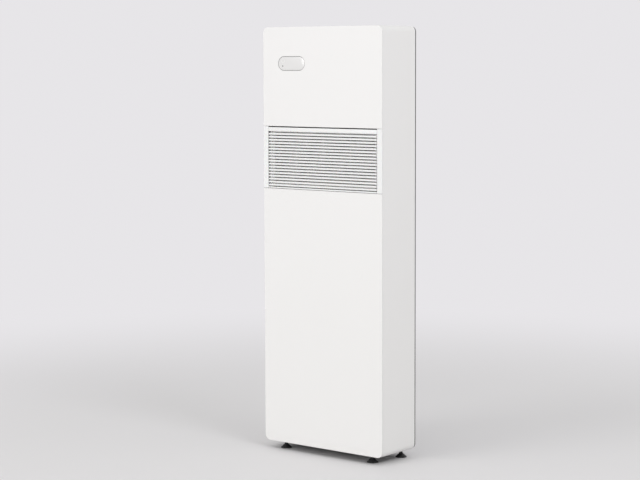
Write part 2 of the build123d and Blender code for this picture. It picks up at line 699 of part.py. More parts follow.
# Rear insulation: a foam slab behind the indoor half, cut out for the hooks
with BuildPart() as rear_insulation:
    block((-INSULATION_X, INSULATION_X), INSULATION_Y, INSULATION_Z)
    for side in (-1, 1):
        pocket_x = (side * HOOK_X - HOOK_WIDTH, side * HOOK_X + HOOK_WIDTH)
        block(pocket_x, INSULATION_Y, (HOOK_Z - HOOK_LIP, HOOK_Z + 2 * HOOK_LIP), Mode.SUBTRACT)
save(rear_insulation, "rear_insulation")

# Condensate tray: under the evaporator, with a spigot for the hose
with BuildPart() as condensate_tray:
    block((-TRAY_X, TRAY_X), TRAY_Y, TRAY_Z)
    block(
        (-TRAY_X + TRAY_WALL, TRAY_X - TRAY_WALL),
        (TRAY_Y[0] + TRAY_WALL, TRAY_Y[1] - TRAY_WALL),
        (TRAY_Z[0] + TRAY_WALL, TRAY_Z[1]),
        Mode.SUBTRACT,
    )
    rod((*HOSE_HOLE, TRAY_Z[0] + TRAY_WALL), (0, 0, -1), SPOUT_BORE, 2 * TRAY_WALL, Mode.SUBTRACT)
save(condensate_tray, "condensate_tray")

# Drain hose: from the tray down behind the coils to the rear spout
with BuildPart() as drain_hose:
    hose_x, hose_y = HOSE_HOLE
    hose_top = (hose_x, hose_y, TRAY_Z[0])
    hose_bend = (hose_x, hose_y, SPOUT_PLACE[1])
    tube((hose_top, hose_bend, (hose_x, SPOUT_Y[0], SPOUT_PLACE[1])), HOSE_RADIUS, HOSE_BEND)
save(drain_hose, "drain_hose")

# Drain spout: a flanged stub through the rear panel
with BuildPart() as drain_spout:
    spout_x, spout_z = SPOUT_PLACE
    rod((spout_x, SPOUT_Y[0], spout_z), (0, 1, 0), SPOUT_RADIUS, SPOUT_Y[1] - SPOUT_Y[0])
    flange_length = SPOUT_FLANGE_Y[1] - SPOUT_FLANGE_Y[0]
    rod((spout_x, SPOUT_FLANGE_Y[0], spout_z), (0, 1, 0), SPOUT_FLANGE, flange_length)
    rod((spout_x, SPOUT_Y[0], spout_z), (0, 1, 0), SPOUT_BORE, SPOUT_Y[1] - SPOUT_Y[0], Mode.SUBTRACT)
save(drain_spout, "drain_spout")


def tube_heights(z, rows):
    """The heights of a coil's tube rows, evenly spread over its height."""
    pitch = (z[1] - z[0]) / rows
    return [z[0] + pitch * (i + 0.5) for i in range(rows)]


def coil(half_width, y, z, pitch, rows):
    """Adds fins, end plates and the straight tubes that are pressed into them."""
    tube_places = [
        (sum(y) / 2 + offset_y, height)
        for offset_y in (-COIL_COLUMN_GAP / 2, COIL_COLUMN_GAP / 2)
        for height in tube_heights(z, rows)
    ]
    with BuildSketch(Plane.YZ.offset(-half_width), mode=Mode.PRIVATE) as tubes:
        with Locations(*tube_places):
            Circle(TUBE_RADIUS)
    extrude(tubes.sketch, amount=2 * half_width)
    fin_count = int(2 * half_width / pitch)
    first = -pitch * (fin_count - 1) / 2
    middle = (sum(y) / 2, sum(z) / 2)
    with Locations(*[(first + pitch * i, *middle) for i in range(fin_count)]):
        Box(FIN, y[1] - y[0], z[1] - z[0])
    with Locations(*[(side * (half_width - END_PLATE / 2), *middle) for side in (-1, 1)]):
        Box(END_PLATE, y[1] - y[0], z[1] - z[0])


def return_bends(half_width, y, z, rows):
    """Adds the half rings that join each tube to the one above it, in turn."""
    heights = tube_heights(z, rows)
    for side in (-1, 1):
        for column in (-COIL_COLUMN_GAP / 2, COIL_COLUMN_GAP / 2):
            first = 1 if side > 0 else 0
            for low, high in zip(heights[first::2], heights[first + 1 :: 2]):
                end = side * half_width
                centre_y = sum(y) / 2 + column
                with BuildSketch(Plane.YZ.offset(end), mode=Mode.PRIVATE) as section:
                    with Locations((centre_y, low)):
                        Circle(TUBE_RADIUS)
                middle = (end, centre_y, (low + high) / 2)
                revolve(section.sketch, axis=Axis(middle, (0, side, 0)), revolution_arc=-180)


# Evaporator: finned coil behind the filter
with BuildPart() as evaporator_coil:
    coil(EVAPORATOR_X, EVAPORATOR_Y, EVAPORATOR_Z, EVAPORATOR_PITCH, EVAPORATOR_ROWS)
save(evaporator_coil, "evaporator_coil")

# Condenser: the same kind of coil in the outdoor half
with BuildPart() as condenser_coil:
    coil(CONDENSER_X, CONDENSER_Y, CONDENSER_Z, CONDENSER_PITCH, CONDENSER_ROWS)
save(condenser_coil, "condenser_coil")

# Return bends of both coils
with BuildPart() as coil_bends:
    return_bends(EVAPORATOR_X, EVAPORATOR_Y, EVAPORATOR_Z, EVAPORATOR_ROWS)
    return_bends(CONDENSER_X, CONDENSER_Y, CONDENSER_Z, CONDENSER_ROWS)
save(coil_bends, "coil_bends")

# Blower end plates: carry the wheel's bearing and motor and close the duct
with BuildPart() as blower_end_plates:
    for side in (-1, 1):
        plate_x = sorted(side * x for x in END_PLATE_X)
        block(plate_x, END_PLATE_Y, END_PLATE_Z)
        rod((0, *BLOWER_CENTRE), (side, 0, 0), BLOWER_SHAFT + SHAFT_CLEARANCE, SIDE, Mode.SUBTRACT)
save(blower_end_plates, "blower_end_plates")

# Rear scroll: wraps the wheel and rises to the outlet
with BuildPart() as rear_scroll:
    with BuildSketch(Plane.YZ.offset(-END_PLATE_X[0])) as scroll_section:
        with BuildLine() as scroll_line:
            bend = CenterArc(BLOWER_CENTRE, SCROLL_RADIUS, SCROLL_START, SCROLL_END - SCROLL_START)
            rise = bend % 1
            length = (DUCT_TOP - (bend @ 1).Y) / rise.Y
            Line(bend @ 1, bend @ 1 + rise * length)
            offset(amount=SCROLL_WALL, side=Side.RIGHT)
        make_face()
    extrude(amount=2 * END_PLATE_X[0])
save(rear_scroll, "rear_scroll")

# Front tongue: the duct's front wall, with the lip that cuts off the wheel's flow
with BuildPart() as front_tongue:
    with BuildSketch(Plane.YZ.offset(-END_PLATE_X[0])):
        with BuildLine():
            FilletPolyline(*TONGUE_ROUTE, radius=(12, 4))
            offset(amount=SCROLL_WALL, side=Side.RIGHT)
        make_face()
    extrude(amount=2 * END_PLATE_X[0])
save(front_tongue, "front_tongue")

# Blower wheel: tilted blades between webs, with hubs for the shaft ends
with BuildPart() as blower_wheel:
    with BuildSketch(Plane.YZ.offset(-BLOWER_X)) as blades:
        with Locations(BLOWER_CENTRE):
            with PolarLocations(BLADE_RING, BLADE_COUNT):
                Rectangle(*BLADE_SIZE, rotation=BLADE_TILT)
    extrude(blades.sketch, amount=2 * BLOWER_X)
    for web_x in WEB_PLACES:
        rod((web_x, *BLOWER_CENTRE), (1, 0, 0), BLOWER_RADIUS, WEB)
        if web_x not in (WEB_PLACES[0], WEB_PLACES[-1]):
            rod((web_x, *BLOWER_CENTRE), (1, 0, 0), WEB_BORE, WEB, Mode.SUBTRACT)
    for side in (-1, 1):
        rod((side * BLOWER_X, *BLOWER_CENTRE), (-side, 0, 0), HUB_RADIUS, HUB_LENGTH)
        hub_mouth = side * (BLOWER_X + OVERLAP)
        rod((hub_mouth, *BLOWER_CENTRE), (-side, 0, 0), BLOWER_SHAFT, HUB_LENGTH, Mode.SUBTRACT)
save(blower_wheel, "blower_wheel")

# Blower shaft: its two ends, pressed into the wheel's hubs
with BuildPart() as blower_shaft:
    hub_floor = BLOWER_X + OVERLAP - HUB_LENGTH
    rod((SHAFT_ENDS[0], *BLOWER_CENTRE), (1, 0, 0), BLOWER_SHAFT, -hub_floor - SHAFT_ENDS[0])
    rod((SHAFT_ENDS[1], *BLOWER_CENTRE), (-1, 0, 0), BLOWER_SHAFT, SHAFT_ENDS[1] - hub_floor)
save(blower_shaft, "blower_shaft")

# Blower bearing: a bush on the left end plate
with BuildPart() as blower_bearing:
    bearing_length = BEARING_X[1] - BEARING_X[0]
    rod((BEARING_X[0], *BLOWER_CENTRE), (1, 0, 0), BEARING_RADIUS, bearing_length)
    rod((BEARING_X[0], *BLOWER_CENTRE), (1, 0, 0), BLOWER_SHAFT + PIN_PLAY, bearing_length, Mode.SUBTRACT)
save(blower_bearing, "blower_bearing")

# Blower motor: on the right end plate
with BuildPart() as blower_motor:
    rod((MOTOR_X[0], *BLOWER_CENTRE), (1, 0, 0), MOTOR_RADIUS, MOTOR_X[1] - MOTOR_X[0])
    fillet(blower_motor.edges().group_by(Axis.X)[-1], MOTOR_ROUNDING)
    rod((MOTOR_X[0], *BLOWER_CENTRE), (1, 0, 0), BLOWER_SHAFT + PIN_PLAY, MOTOR_BORE_DEPTH, Mode.SUBTRACT)
save(blower_motor, "blower_motor")

# Outlet frame: flush in the top panel, with a wire guard across its throat
with BuildPart() as outlet_frame:
    block((-OUTLET_X, OUTLET_X), OUTLET_Y, OUTLET_Z)
    block(
        (-OUTLET_X - OUTLET_LIP, OUTLET_X + OUTLET_LIP),
        (OUTLET_Y[0] - OUTLET_LIP, OUTLET_Y[1] + OUTLET_LIP),
        (OUTLET_LIP_TOP - OUTLET_LIP_THICKNESS, OUTLET_LIP_TOP),
    )
    block((-THROAT_X, THROAT_X), THROAT_Y, OUTLET_Z, Mode.SUBTRACT)
    lip_cut = (FLAP_MOTOR_X[0] - OVERLAP, FLAP_MOTOR_X[1] + OVERLAP)
    for side in (-1, 1):
        bore_start = (side * (THROAT_X - OVERLAP), *FLAP_AXIS)
        rod(bore_start, (side, 0, 0), FLAP_PIN + PIN_PLAY, FLAP_BORE_DEPTH, Mode.SUBTRACT)
    block(
        lip_cut,
        (FLAP_AXIS[0] - 2 * FLAP_MOTOR_RADIUS, FLAP_AXIS[0] + 2 * FLAP_MOTOR_RADIUS),
        MOTOR_CUT_Z,
        Mode.SUBTRACT,
    )
    bar_gap = (THROAT_Y[1] - THROAT_Y[0]) / (GUARD_LONG_BARS + 1)
    bar_places = [THROAT_Y[0] + bar_gap * (i + 1) for i in range(GUARD_LONG_BARS)]
    with Locations(*[Plane((0, y, GUARD_Z), z_dir=(1, 0, 0)) for y in bar_places]):
        Cylinder(GUARD_WIRE, 2 * THROAT_X)
    wire_count = int(2 * THROAT_X / GUARD_PITCH) - 1
    wire_places = [GUARD_PITCH * (i - (wire_count - 1) / 2) for i in range(wire_count)]
    throat_middle = sum(THROAT_Y) / 2
    with Locations(*[Plane((x, throat_middle, GUARD_Z), z_dir=(0, 1, 0)) for x in wire_places]):
        Cylinder(GUARD_WIRE, THROAT_Y[1] - THROAT_Y[0])
save(outlet_frame, "outlet_frame")

# Air flap: a plate with a rounded rear edge about its pins
with BuildPart() as air_flap:
    flap_y, flap_z = FLAP_AXIS
    block((-FLAP_X, FLAP_X), (FLAP_FRONT, flap_y), (TOP - FLAP_THICKNESS, TOP))
    rod((-FLAP_X, flap_y, flap_z), (1, 0, 0), TOP - flap_z, 2 * FLAP_X)
    pin_length = FLAP_PIN_ENDS[1] - FLAP_PIN_ENDS[0]
    rod((FLAP_PIN_ENDS[0], flap_y, flap_z), (1, 0, 0), FLAP_PIN, pin_length)
save(air_flap, "air_flap")

# Flap motor: a small geared stepper with an offset shaft hole
with BuildPart() as flap_motor:
    motor_length = FLAP_MOTOR_X[1] - FLAP_MOTOR_X[0]
    motor_start = (FLAP_MOTOR_X[1], flap_y, flap_z - FLAP_MOTOR_OFFSET)
    rod(motor_start, (-1, 0, 0), FLAP_MOTOR_RADIUS, motor_length)
    bore_start = (FLAP_MOTOR_X[1] + OVERLAP, flap_y, flap_z)
    rod(bore_start, (-1, 0, 0), FLAP_PIN + PIN_PLAY, FLAP_MOTOR_BORE + OVERLAP, Mode.SUBTRACT)
save(flap_motor, "flap_motor")

# Fan wheel: blades between a back disc and a front ring, on a hub
with BuildPart() as fan_wheel:
    fan_x, fan_z = FAN_CENTRE
    with BuildSketch(facing(FAN_Y[1])) as fan_blades:
        with Locations(FAN_CENTRE):
            with PolarLocations((FAN_RADIUS + FAN_EYE) / 2, FAN_BLADES):
                Rectangle(*FAN_BLADE, rotation=FAN_BLADE_TILT)
    extrude(fan_blades.sketch, amount=FAN_Y[1] - FAN_Y[0])
    rod((fan_x, FAN_Y[0], fan_z), (0, 1, 0), FAN_RADIUS, FAN_DISC)
    rod((fan_x, FAN_Y[0], fan_z), (0, 1, 0), FAN_HUB_RADIUS, FAN_HUB_END - FAN_Y[0])
    with BuildSketch(facing(FAN_Y[1] + FAN_DISC)) as fan_ring:
        with Locations(FAN_CENTRE):
            Circle(FAN_RADIUS)
            Circle(FAN_EYE, mode=Mode.SUBTRACT)
    extrude(fan_ring.sketch, amount=FAN_DISC)
    rod((fan_x, FAN_Y[0], fan_z), (0, 1, 0), FAN_SHAFT, FAN_HUB_END - FAN_Y[0], Mode.SUBTRACT)
save(fan_wheel, "fan_wheel")

# Fan shaft: runs from the motor into the wheel's hub
with BuildPart() as fan_shaft:
    shaft_start = FAN_MOTOR_Y[1] - FAN_MOTOR_BORE + SHAFT_CLEARANCE
    rod((fan_x, shaft_start, fan_z), (0, 1, 0), FAN_SHAFT, FAN_HUB_END - shaft_start)
save(fan_shaft, "fan_shaft")

# Fan motor: in front of the scroll
with BuildPart() as fan_motor:
    rod((fan_x, FAN_MOTOR_Y[0], fan_z), (0, 1, 0), FAN_MOTOR_RADIUS, FAN_MOTOR_Y[1] - FAN_MOTOR_Y[0])
    fillet(fan_motor.edges().group_by(Axis.Y)[0], FAN_MOTOR_ROUNDING)
    rod((fan_x, FAN_MOTOR_Y[1], fan_z), (0, -1, 0), FAN_SHAFT + PIN_PLAY, FAN_MOTOR_BORE, Mode.SUBTRACT)
save(fan_motor, "fan_motor")

# Fan scroll: a spiral of three quarter turns of growing radius, and two cheeks
with BuildPart() as fan_scroll:
    with BuildSketch(facing(VOLUTE_Y[1])) as spiral:
        with BuildLine() as spiral_line:
            start = (fan_x + VOLUTE_RADII[0], VOLUTE_START_Z)
            first = JernArc(start, (0, -1), VOLUTE_RADII[0], -90)
            second = JernArc(first @ 1, first % 1, VOLUTE_RADII[1], -90)
            third = JernArc(second @ 1, second % 1, VOLUTE_RADII[2], -90)
            Line(third @ 1, (VOLUTE_MOUTH_X, (third @ 1).Y))
            Line((VOLUTE_MOUTH_X, (third @ 1).Y), (VOLUTE_MOUTH_X, VOLUTE_START_Z))
            Line((VOLUTE_MOUTH_X, VOLUTE_START_Z), start)
        make_face()
    extrude(spiral.sketch, amount=VOLUTE_Y[1] - VOLUTE_Y[0])
    with BuildSketch(facing(VOLUTE_Y[1] - VOLUTE_WALL)) as inside:
        add(offset(spiral.sketch_local, amount=-VOLUTE_WALL, mode=Mode.PRIVATE))
    extrude(inside.sketch, amount=VOLUTE_Y[1] - VOLUTE_Y[0] - 2 * VOLUTE_WALL, mode=Mode.SUBTRACT)
    rod((fan_x, VOLUTE_Y[1], fan_z), (0, -1, 0), FAN_EYE, VOLUTE_WALL, Mode.SUBTRACT)
    rod((fan_x, VOLUTE_Y[0], fan_z), (0, 1, 0), FAN_MOTOR_HOLE, VOLUTE_WALL, Mode.SUBTRACT)
    mouth_z = (VOLUTE_START_Z + VOLUTE_WALL, (third @ 1).Y - VOLUTE_WALL)
    mouth_y = (VOLUTE_Y[0] + VOLUTE_WALL, VOLUTE_Y[1] - VOLUTE_WALL)
    block((VOLUTE_MOUTH_X - 2 * VOLUTE_WALL, VOLUTE_MOUTH_X), mouth_y, mouth_z, Mode.SUBTRACT)
save(fan_scroll, "fan_scroll")

# Exhaust box: turns the fan's air from the scroll's mouth to the rear collar
with BuildPart() as exhaust_box:
    block(BOX_X, BOX_Y, BOX_Z)
    block(
        (BOX_X[0] + BOX_WALL, BOX_X[1] - BOX_WALL),
        (BOX_Y[0] + BOX_WALL, BOX_Y[1] - BOX_WALL),
        (BOX_Z[0] + BOX_WALL, BOX_Z[1] - BOX_WALL),
        Mode.SUBTRACT,
    )
    block((BOX_X[0], BOX_X[0] + BOX_WALL), mouth_y, mouth_z, Mode.SUBTRACT)
    rod((DUCT_X, BOX_Y[1], EXHAUST_Z), (0, -1, 0), DUCT_BORE, BOX_WALL, Mode.SUBTRACT)
save(exhaust_box, "exhaust_box")

# Compressor: a domed can on a triangular foot plate
with BuildPart() as compressor:
    compressor_x, compressor_y = COMPRESSOR_PLACE
    can_height = COMPRESSOR_Z[1] - COMPRESSOR_Z[0]
    rod((*COMPRESSOR_PLACE, COMPRESSOR_Z[0]), (0, 0, 1), COMPRESSOR_RADIUS, can_height)
    fillet(compressor.edges().group_by(Axis.Z)[-1], COMPRESSOR_DOME)
    fillet(compressor.edges().group_by(Axis.Z)[0], COMPRESSOR_DOME / 2)
    with BuildSketch(Plane.XY.offset(FOOT_PLATE_Z[0])) as foot_plate:
        with Locations(COMPRESSOR_PLACE):
            with PolarLocations(MOUNT_CIRCLE, 3, start_angle=MOUNT_START):
                Circle(MOUNT_EAR)
            Circle(FOOT_PLATE_RADIUS)
    extrude(foot_plate.sketch, amount=FOOT_PLATE_Z[1] - FOOT_PLATE_Z[0] + COMPRESSOR_DOME / 2)
    with Locations((compressor_x, compressor_y, FOOT_PLATE_Z[0])):
        with PolarLocations(MOUNT_CIRCLE, 3, start_angle=MOUNT_START):
            Cylinder(MOUNT_BOLT_HOLE, COMPRESSOR_RADIUS, mode=Mode.SUBTRACT)
save(compressor, "compressor")

# Compressor mounts: rubber bushes under the foot plate
with BuildPart() as compressor_mounts:
    with BuildSketch(Plane.XY.offset(MOUNT_Z[0])) as mounts:
        with Locations(COMPRESSOR_PLACE):
            with PolarLocations(MOUNT_CIRCLE, 3, start_angle=MOUNT_START):
                Circle(MOUNT_RADIUS)
    extrude(mounts.sketch, amount=MOUNT_Z[1] - MOUNT_Z[0])
save(compressor_mounts, "compressor_mounts")

# Accumulator: a small can beside the compressor
with BuildPart() as accumulator:
    can_height = ACCUMULATOR_Z[1] - ACCUMULATOR_Z[0]
    rod((*ACCUMULATOR_PLACE, ACCUMULATOR_Z[0]), (0, 0, 1), ACCUMULATOR_RADIUS, can_height)
    fillet(accumulator.edges().filter_by(GeomType.CIRCLE), ACCUMULATOR_DOME)
save(accumulator, "accumulator")

# Four-way valve: a barrel across the compartment, with a pilot beside it
with BuildPart() as four_way_valve:
    valve_x, valve_z = VALVE_PLACE
    rod((valve_x - VALVE_LENGTH / 2, VALVE_Y, valve_z), (1, 0, 0), VALVE_RADIUS, VALVE_LENGTH)
    fillet(four_way_valve.edges().filter_by(GeomType.CIRCLE), VALVE_ROUNDING)
    pilot_start = (valve_x - PILOT_OFFSET, VALVE_Y - PILOT_OFFSET, valve_z)
    rod(pilot_start, (1, 0, 0), VALVE_RADIUS / 2, VALVE_LENGTH / 2)
    neck_x = (valve_x - PILOT_NECK, valve_x + PILOT_NECK)
    neck_z = (valve_z - PILOT_NECK, valve_z + PILOT_NECK)
    block(neck_x, (VALVE_Y - PILOT_OFFSET, VALVE_Y), neck_z)
save(four_way_valve, "four_way_valve")

# Refrigerant pipes: suction, discharge, and a riser from the valve to each coil
with BuildPart() as refrigerant_pipes:
    for route in (SUCTION_ROUTE, DISCHARGE_ROUTE):
        tube(route, PIPE_RADIUS, TIGHT_BEND)
    coil_ends = (
        (CONDENSER_X, CONDENSER_Y, tube_heights(CONDENSER_Z, CONDENSER_ROWS)[0]),
        (EVAPORATOR_X, EVAPORATOR_Y, tube_heights(EVAPORATOR_Z, EVAPORATOR_ROWS)[0]),
    )
    for start_x, (hole_x, hole_y), (end_x, coil_y, end_z) in zip(RISER_STARTS, PIPE_HOLES, coil_ends):
        end_y = sum(coil_y) / 2 + COIL_COLUMN_GAP / 2
        riser = (
            (start_x, VALVE_Y, valve_z - VALVE_RADIUS - VALVE_CLEARANCE),
            (start_x, VALVE_Y, RISER_LOW),
            (hole_x, hole_y, RISER_LOW),
            (hole_x, hole_y, end_z),
            (hole_x, end_y, end_z),
            (end_x, end_y, end_z),
        )
        tube(riser, PIPE_RADIUS, RISER_BEND)
save(refrigerant_pipes, "refrigerant_pipes")

# Electronics box and its lid, in the right of the compressor compartment
with BuildPart() as electronics_box:
    block(ELECTRONICS_X, ELECTRONICS_Y, ELECTRONICS_Z)
    block(
        (ELECTRONICS_X[0] + BOX_SHEET, ELECTRONICS_X[1] - BOX_SHEET),
        (ELECTRONICS_Y[0], ELECTRONICS_Y[1] - BOX_SHEET),
        (ELECTRONICS_Z[0] + BOX_SHEET, ELECTRONICS_Z[1] - BOX_SHEET),
        Mode.SUBTRACT,
    )
save(electronics_box, "electronics_box")
with BuildPart() as electronics_lid:
    block(ELECTRONICS_X, (ELECTRONICS_Y[0] - BOX_SHEET, ELECTRONICS_Y[0]), ELECTRONICS_Z)
save(electronics_lid, "electronics_lid")

# Control board with its larger components and the supply terminals
with BuildPart() as control_board:
    block(CONTROL_BOARD_X, CONTROL_BOARD_Y, CONTROL_BOARD_Z)
    capacitor_x, capacitor_z = CAPACITOR_PLACE
    board_face = CONTROL_BOARD_Y[0]
    rod((capacitor_x, board_face, capacitor_z), (0, -1, 0), CAPACITOR_RADIUS, CAPACITOR_HEIGHT)
    block(*HEAT_SINK)
    for chip_x, chip_z in CHIP_PLACES:
        with Locations((chip_x, board_face - CHIP_SIZE[1] / 2, chip_z)):
            Box(*CHIP_SIZE)
    with Locations(*[(x, board_face - TERMINAL_SIZE[1] / 2, TERMINAL_Z) for x in TERMINAL_PLACES]):
        Box(*TERMINAL_SIZE)
save(control_board, "control_board")

# Wiring harness: from the display down the left side to the electronics
with BuildPart() as wiring_harness:
    tube(HARNESS_ROUTE, HARNESS_RADIUS, HARNESS_BENDS)
save(wiring_harness, "wiring_harness")
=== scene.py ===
import json
import math

import bmesh
import bpy
from bpy.props import FloatProperty, FloatVectorProperty, IntProperty, PointerProperty
from mathutils import Matrix, Vector


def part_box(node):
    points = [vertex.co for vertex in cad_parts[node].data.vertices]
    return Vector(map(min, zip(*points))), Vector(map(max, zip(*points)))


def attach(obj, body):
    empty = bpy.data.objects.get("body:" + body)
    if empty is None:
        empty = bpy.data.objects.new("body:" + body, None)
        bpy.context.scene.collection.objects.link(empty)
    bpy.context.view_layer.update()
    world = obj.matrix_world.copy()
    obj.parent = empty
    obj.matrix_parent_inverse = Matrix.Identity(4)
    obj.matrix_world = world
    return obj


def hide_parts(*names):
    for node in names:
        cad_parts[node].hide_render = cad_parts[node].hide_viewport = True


bl_info = {
    "name": "Slim one-piece air conditioner",
    "version": (1, 0, 0),
    "blender": (4, 5, 0),
    "location": "3D View > Sidebar > Air conditioner",
    "description": "Dresses the packed model of a tall one-piece air conditioner for a studio picture",
    "category": "Object",
}

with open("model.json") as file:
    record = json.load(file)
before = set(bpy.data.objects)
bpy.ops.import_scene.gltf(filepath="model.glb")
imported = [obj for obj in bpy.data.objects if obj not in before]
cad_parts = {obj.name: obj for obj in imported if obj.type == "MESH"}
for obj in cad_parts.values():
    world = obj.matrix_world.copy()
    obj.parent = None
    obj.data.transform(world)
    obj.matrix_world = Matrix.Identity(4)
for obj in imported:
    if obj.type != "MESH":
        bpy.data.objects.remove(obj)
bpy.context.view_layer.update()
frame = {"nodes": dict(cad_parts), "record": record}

# Sizes and places are in millimetres, unless a comment says otherwise
MM = 0.001
CORNERS = ("front_left", "front_right", "rear_left", "rear_right")
LEFT_AND_RIGHT = (-1, 1)

# Limits in metres: for faces and points at a place, for edges by their run, and for merging
NEAR = 1e-5
EXACT = 1e-6
FLAT = 1e-4
WHOLE_WIDTH = 0.1
SPIN_WELD = 0.000004
THREAD_MERGE = 0.000005
THREAD_WELD = 0.000002

# Angles in degrees past which an edge stays sharp
SMOOTHING = 35.0
FOOT_SMOOTHING = 25.0
SOFT_SMOOTHING = 50.0


# Settings that a user would change


def colour(name, description, value):
    return FloatVectorProperty(
        name=name, description=description, default=value, subtype="COLOR", size=3, min=0.0, max=1.0
    )


def length(name, description, millimetres):
    return FloatProperty(
        name=name, description=description, default=millimetres * MM, unit="LENGTH", min=0.0
    )


def power(name, description, watts):
    return FloatProperty(name=name, description=description, default=watts, unit="POWER")


def strength(name, description, value):
    return FloatProperty(name=name, description=description, default=value, min=0.0)


class CasingSettings(bpy.types.PropertyGroup):
    coat_colour: colour("Casing", "Colour of the powder-coated sheets", (0.868, 0.862, 0.85))
    plastic_colour: colour("Plastic", "Colour of the moulded white parts", (0.885, 0.882, 0.872))
    # Dark trim takes in the post gaskets, whose dark is partly painted shade of the gaps at the
    # grille's posts
    trim_and_gap_shade_colour: colour("Dark trim", "Colour of gaskets and dark plastic", (0.045, 0.045, 0.048))
    # The wall seal's near-black is partly painted shade: it stands in for the shadow in the gap
    # between the casing and the wall
    wall_seal_shade_colour: colour("Wall seal", "Colour of the foam against the wall", (0.032, 0.032, 0.034))


class GrilleSettings(bpy.types.PropertyGroup):
    slat_count: IntProperty(name="Slats", description="Number of louvre slats", default=18, min=1)
    slat_pitch: length("Pitch", "Height from one slat to the next", 10.04)
    slat_face: length("Face", "Height of a slat's front face", 5.3)
    slat_rise: length("Rise", "How far a slat climbs towards its back edge", 2.3)
    slat_depth: length("Depth", "Depth of a slat", 10.0)
    slat_rounding: length("Rounding", "Rounding of a slat's edges", 0.6)


class CoilSettings(bpy.types.PropertyGroup):
    fin_pitch: length("Fin pitch", "Distance from one fin to the next", 2.2)
    fin_thickness: length("Fin thickness", "Thickness of a fin", 0.25)
    fin_wave: length("Wave", "How far a fin's corrugation stands out", 0.3)


class DisplaySettings(bpy.types.PropertyGroup):
    lens_colour: colour("Lens", "Colour of the display's window", (0.79, 0.785, 0.775))


class StageSettings(bpy.types.PropertyGroup):
    floor_colour: colour("Floor", "Colour of the floor", (0.752, 0.743, 0.748))
    back_colour: colour("Background", "Colour behind the object", (0.80, 0.787, 0.808))
    sky: strength("Surrounding light", "Strength of the even light", 0.76)
    horizon: strength("Light at the horizon", "Share of the even light left near the floor", 0.15)
    key: power("Key lamp", "Power of the large front lamp", 206.0)
    fill: power("Fill lamp", "Power of the side lamp", 76.0)


# Modelling helpers


def clear_selection():
    """Leaves edit mode and deselects everything."""
    if bpy.context.mode != "OBJECT":
        bpy.ops.object.mode_set(mode="OBJECT")
    bpy.ops.object.select_all(action="DESELECT")


def make_active(obj):
    clear_selection()
    obj.select_set(True)
    bpy.context.view_layer.objects.active = obj


def apply_place(obj):
    """Moves the object's place, turn and scale into its mesh."""
    make_active(obj)
    bpy.ops.object.transform_apply(location=True, rotation=True, scale=True)


def begin_edit(obj):
    make_active(obj)
    bpy.ops.object.mode_set(mode="EDIT")
    bpy.ops.mesh.select_mode(type="VERT")
    bpy.ops.mesh.select_all(action="DESELECT")


def end_edit():
    bpy.ops.object.mode_set(mode="OBJECT")


def choose(obj, kind, test):
    """Selects the vertices, edges or faces that pass a test, in edit mode."""
    bpy.ops.mesh.select_mode(type=kind)
    bpy.ops.mesh.select_all(action="DESELECT")
    mesh = bmesh.from_edit_mesh(obj.data)
    elements = {"VERT": mesh.verts, "EDGE": mesh.edges, "FACE": mesh.faces}[kind]
    for element in elements:
        if test(element):
            element.select_set(True)
    mesh.select_flush_mode()
    bmesh.update_edit_mesh(obj.data)


def edge_run(edge, axis):
    """How far an edge runs along x, y or z (0, 1 or 2), in metres."""
    return abs(edge.verts[0].co[axis] - edge.verts[1].co[axis])


def bevel_chosen(rounding, segments, affect="EDGES"):
    bpy.ops.mesh.bevel(offset=rounding * MM, segments=segments, affect=affect)


def round_edges(obj, rounding, segments=2):
    """Rounds every edge of an object."""
    begin_edit(obj)
    bpy.ops.mesh.select_all(action="SELECT")
    bevel_chosen(rounding, segments)
    end_edit()


def weld(distance):
    """Merges what lies within a distance and turns the faces outwards, in edit mode."""
    bpy.ops.mesh.select_all(action="SELECT")
    bpy.ops.mesh.remove_doubles(threshold=distance)
    bpy.ops.mesh.normals_make_consistent(inside=False)


def apply_modifier(obj, kind, **values):
    """Adds a modifier with these values and applies it."""
    modifier = obj.modifiers.new(kind.lower(), kind)
    for key, value in values.items():
        setattr(modifier, key, value)
    make_active(obj)
    bpy.ops.object.modifier_apply(modifier=modifier.name)


def side_span(side, near, far):
    """A span on the left (-1) or right (1) side, from its lower to its higher end."""
    return sorted((side * near, side * far))


def block(name, x, y, z, rounding=0.0, segments=2):
    """A block that fills a span along each axis, with rounded edges."""
    clear_selection()
    low, high = (Vector(corner) * MM for corner in zip(x, y, z))
    bpy.ops.mesh.primitive_cube_add(size=1, location=(low + high) / 2, scale=high - low)
    obj = bpy.context.object
    obj.name = name
    apply_place(obj)
    if rounding:
        round_edges(obj, rounding, segments)
    return obj


def tube(name, start, end, radius, sides):
    """A rod between two points."""
    clear_selection()
    start = Vector(start) * MM
    end = Vector(end) * MM
    run = end - start
    bpy.ops.mesh.primitive_cylinder_add(
        vertices=sides,
        radius=radius * MM,
        depth=run.length,
        location=(start + end) / 2,
        rotation=run.to_track_quat("Z", "Y").to_euler(),
    )
    obj = bpy.context.object
    obj.name = name
    apply_place(obj)
    return obj


def draw_profile(name, points):
    """A line through points in metres. The object is left in edit mode."""
    clear_selection()
    bpy.ops.mesh.primitive_plane_add(size=1, location=(0, 0, 0))
    obj = bpy.context.object
    obj.name = name
    begin_edit(obj)
    bpy.ops.mesh.select_all(action="SELECT")
    bpy.ops.mesh.merge(type="CENTER")
    bpy.ops.transform.translate(value=points[0])
    for last, point in zip(points, points[1:]):
        bpy.ops.mesh.extrude_region_move(TRANSFORM_OT_translate={"value": point - last})
    return obj


def spun(name, centre, axis, profile, steps):
    """A turned piece: a profile of (radius, height) points, spun about an axis."""
    axis = Vector(axis).normalized()
    across = axis.orthogonal().normalized()
    centre = Vector(centre) * MM
    obj = draw_profile(name, [centre + (across * r + axis * h) * MM for r, h in profile])
    bpy.ops.mesh.select_all(action="SELECT")
    bpy.ops.mesh.spin(steps=steps, angle=math.tau, center=centre, axis=axis)
    weld(SPIN_WELD)
    end_edit()
    return obj


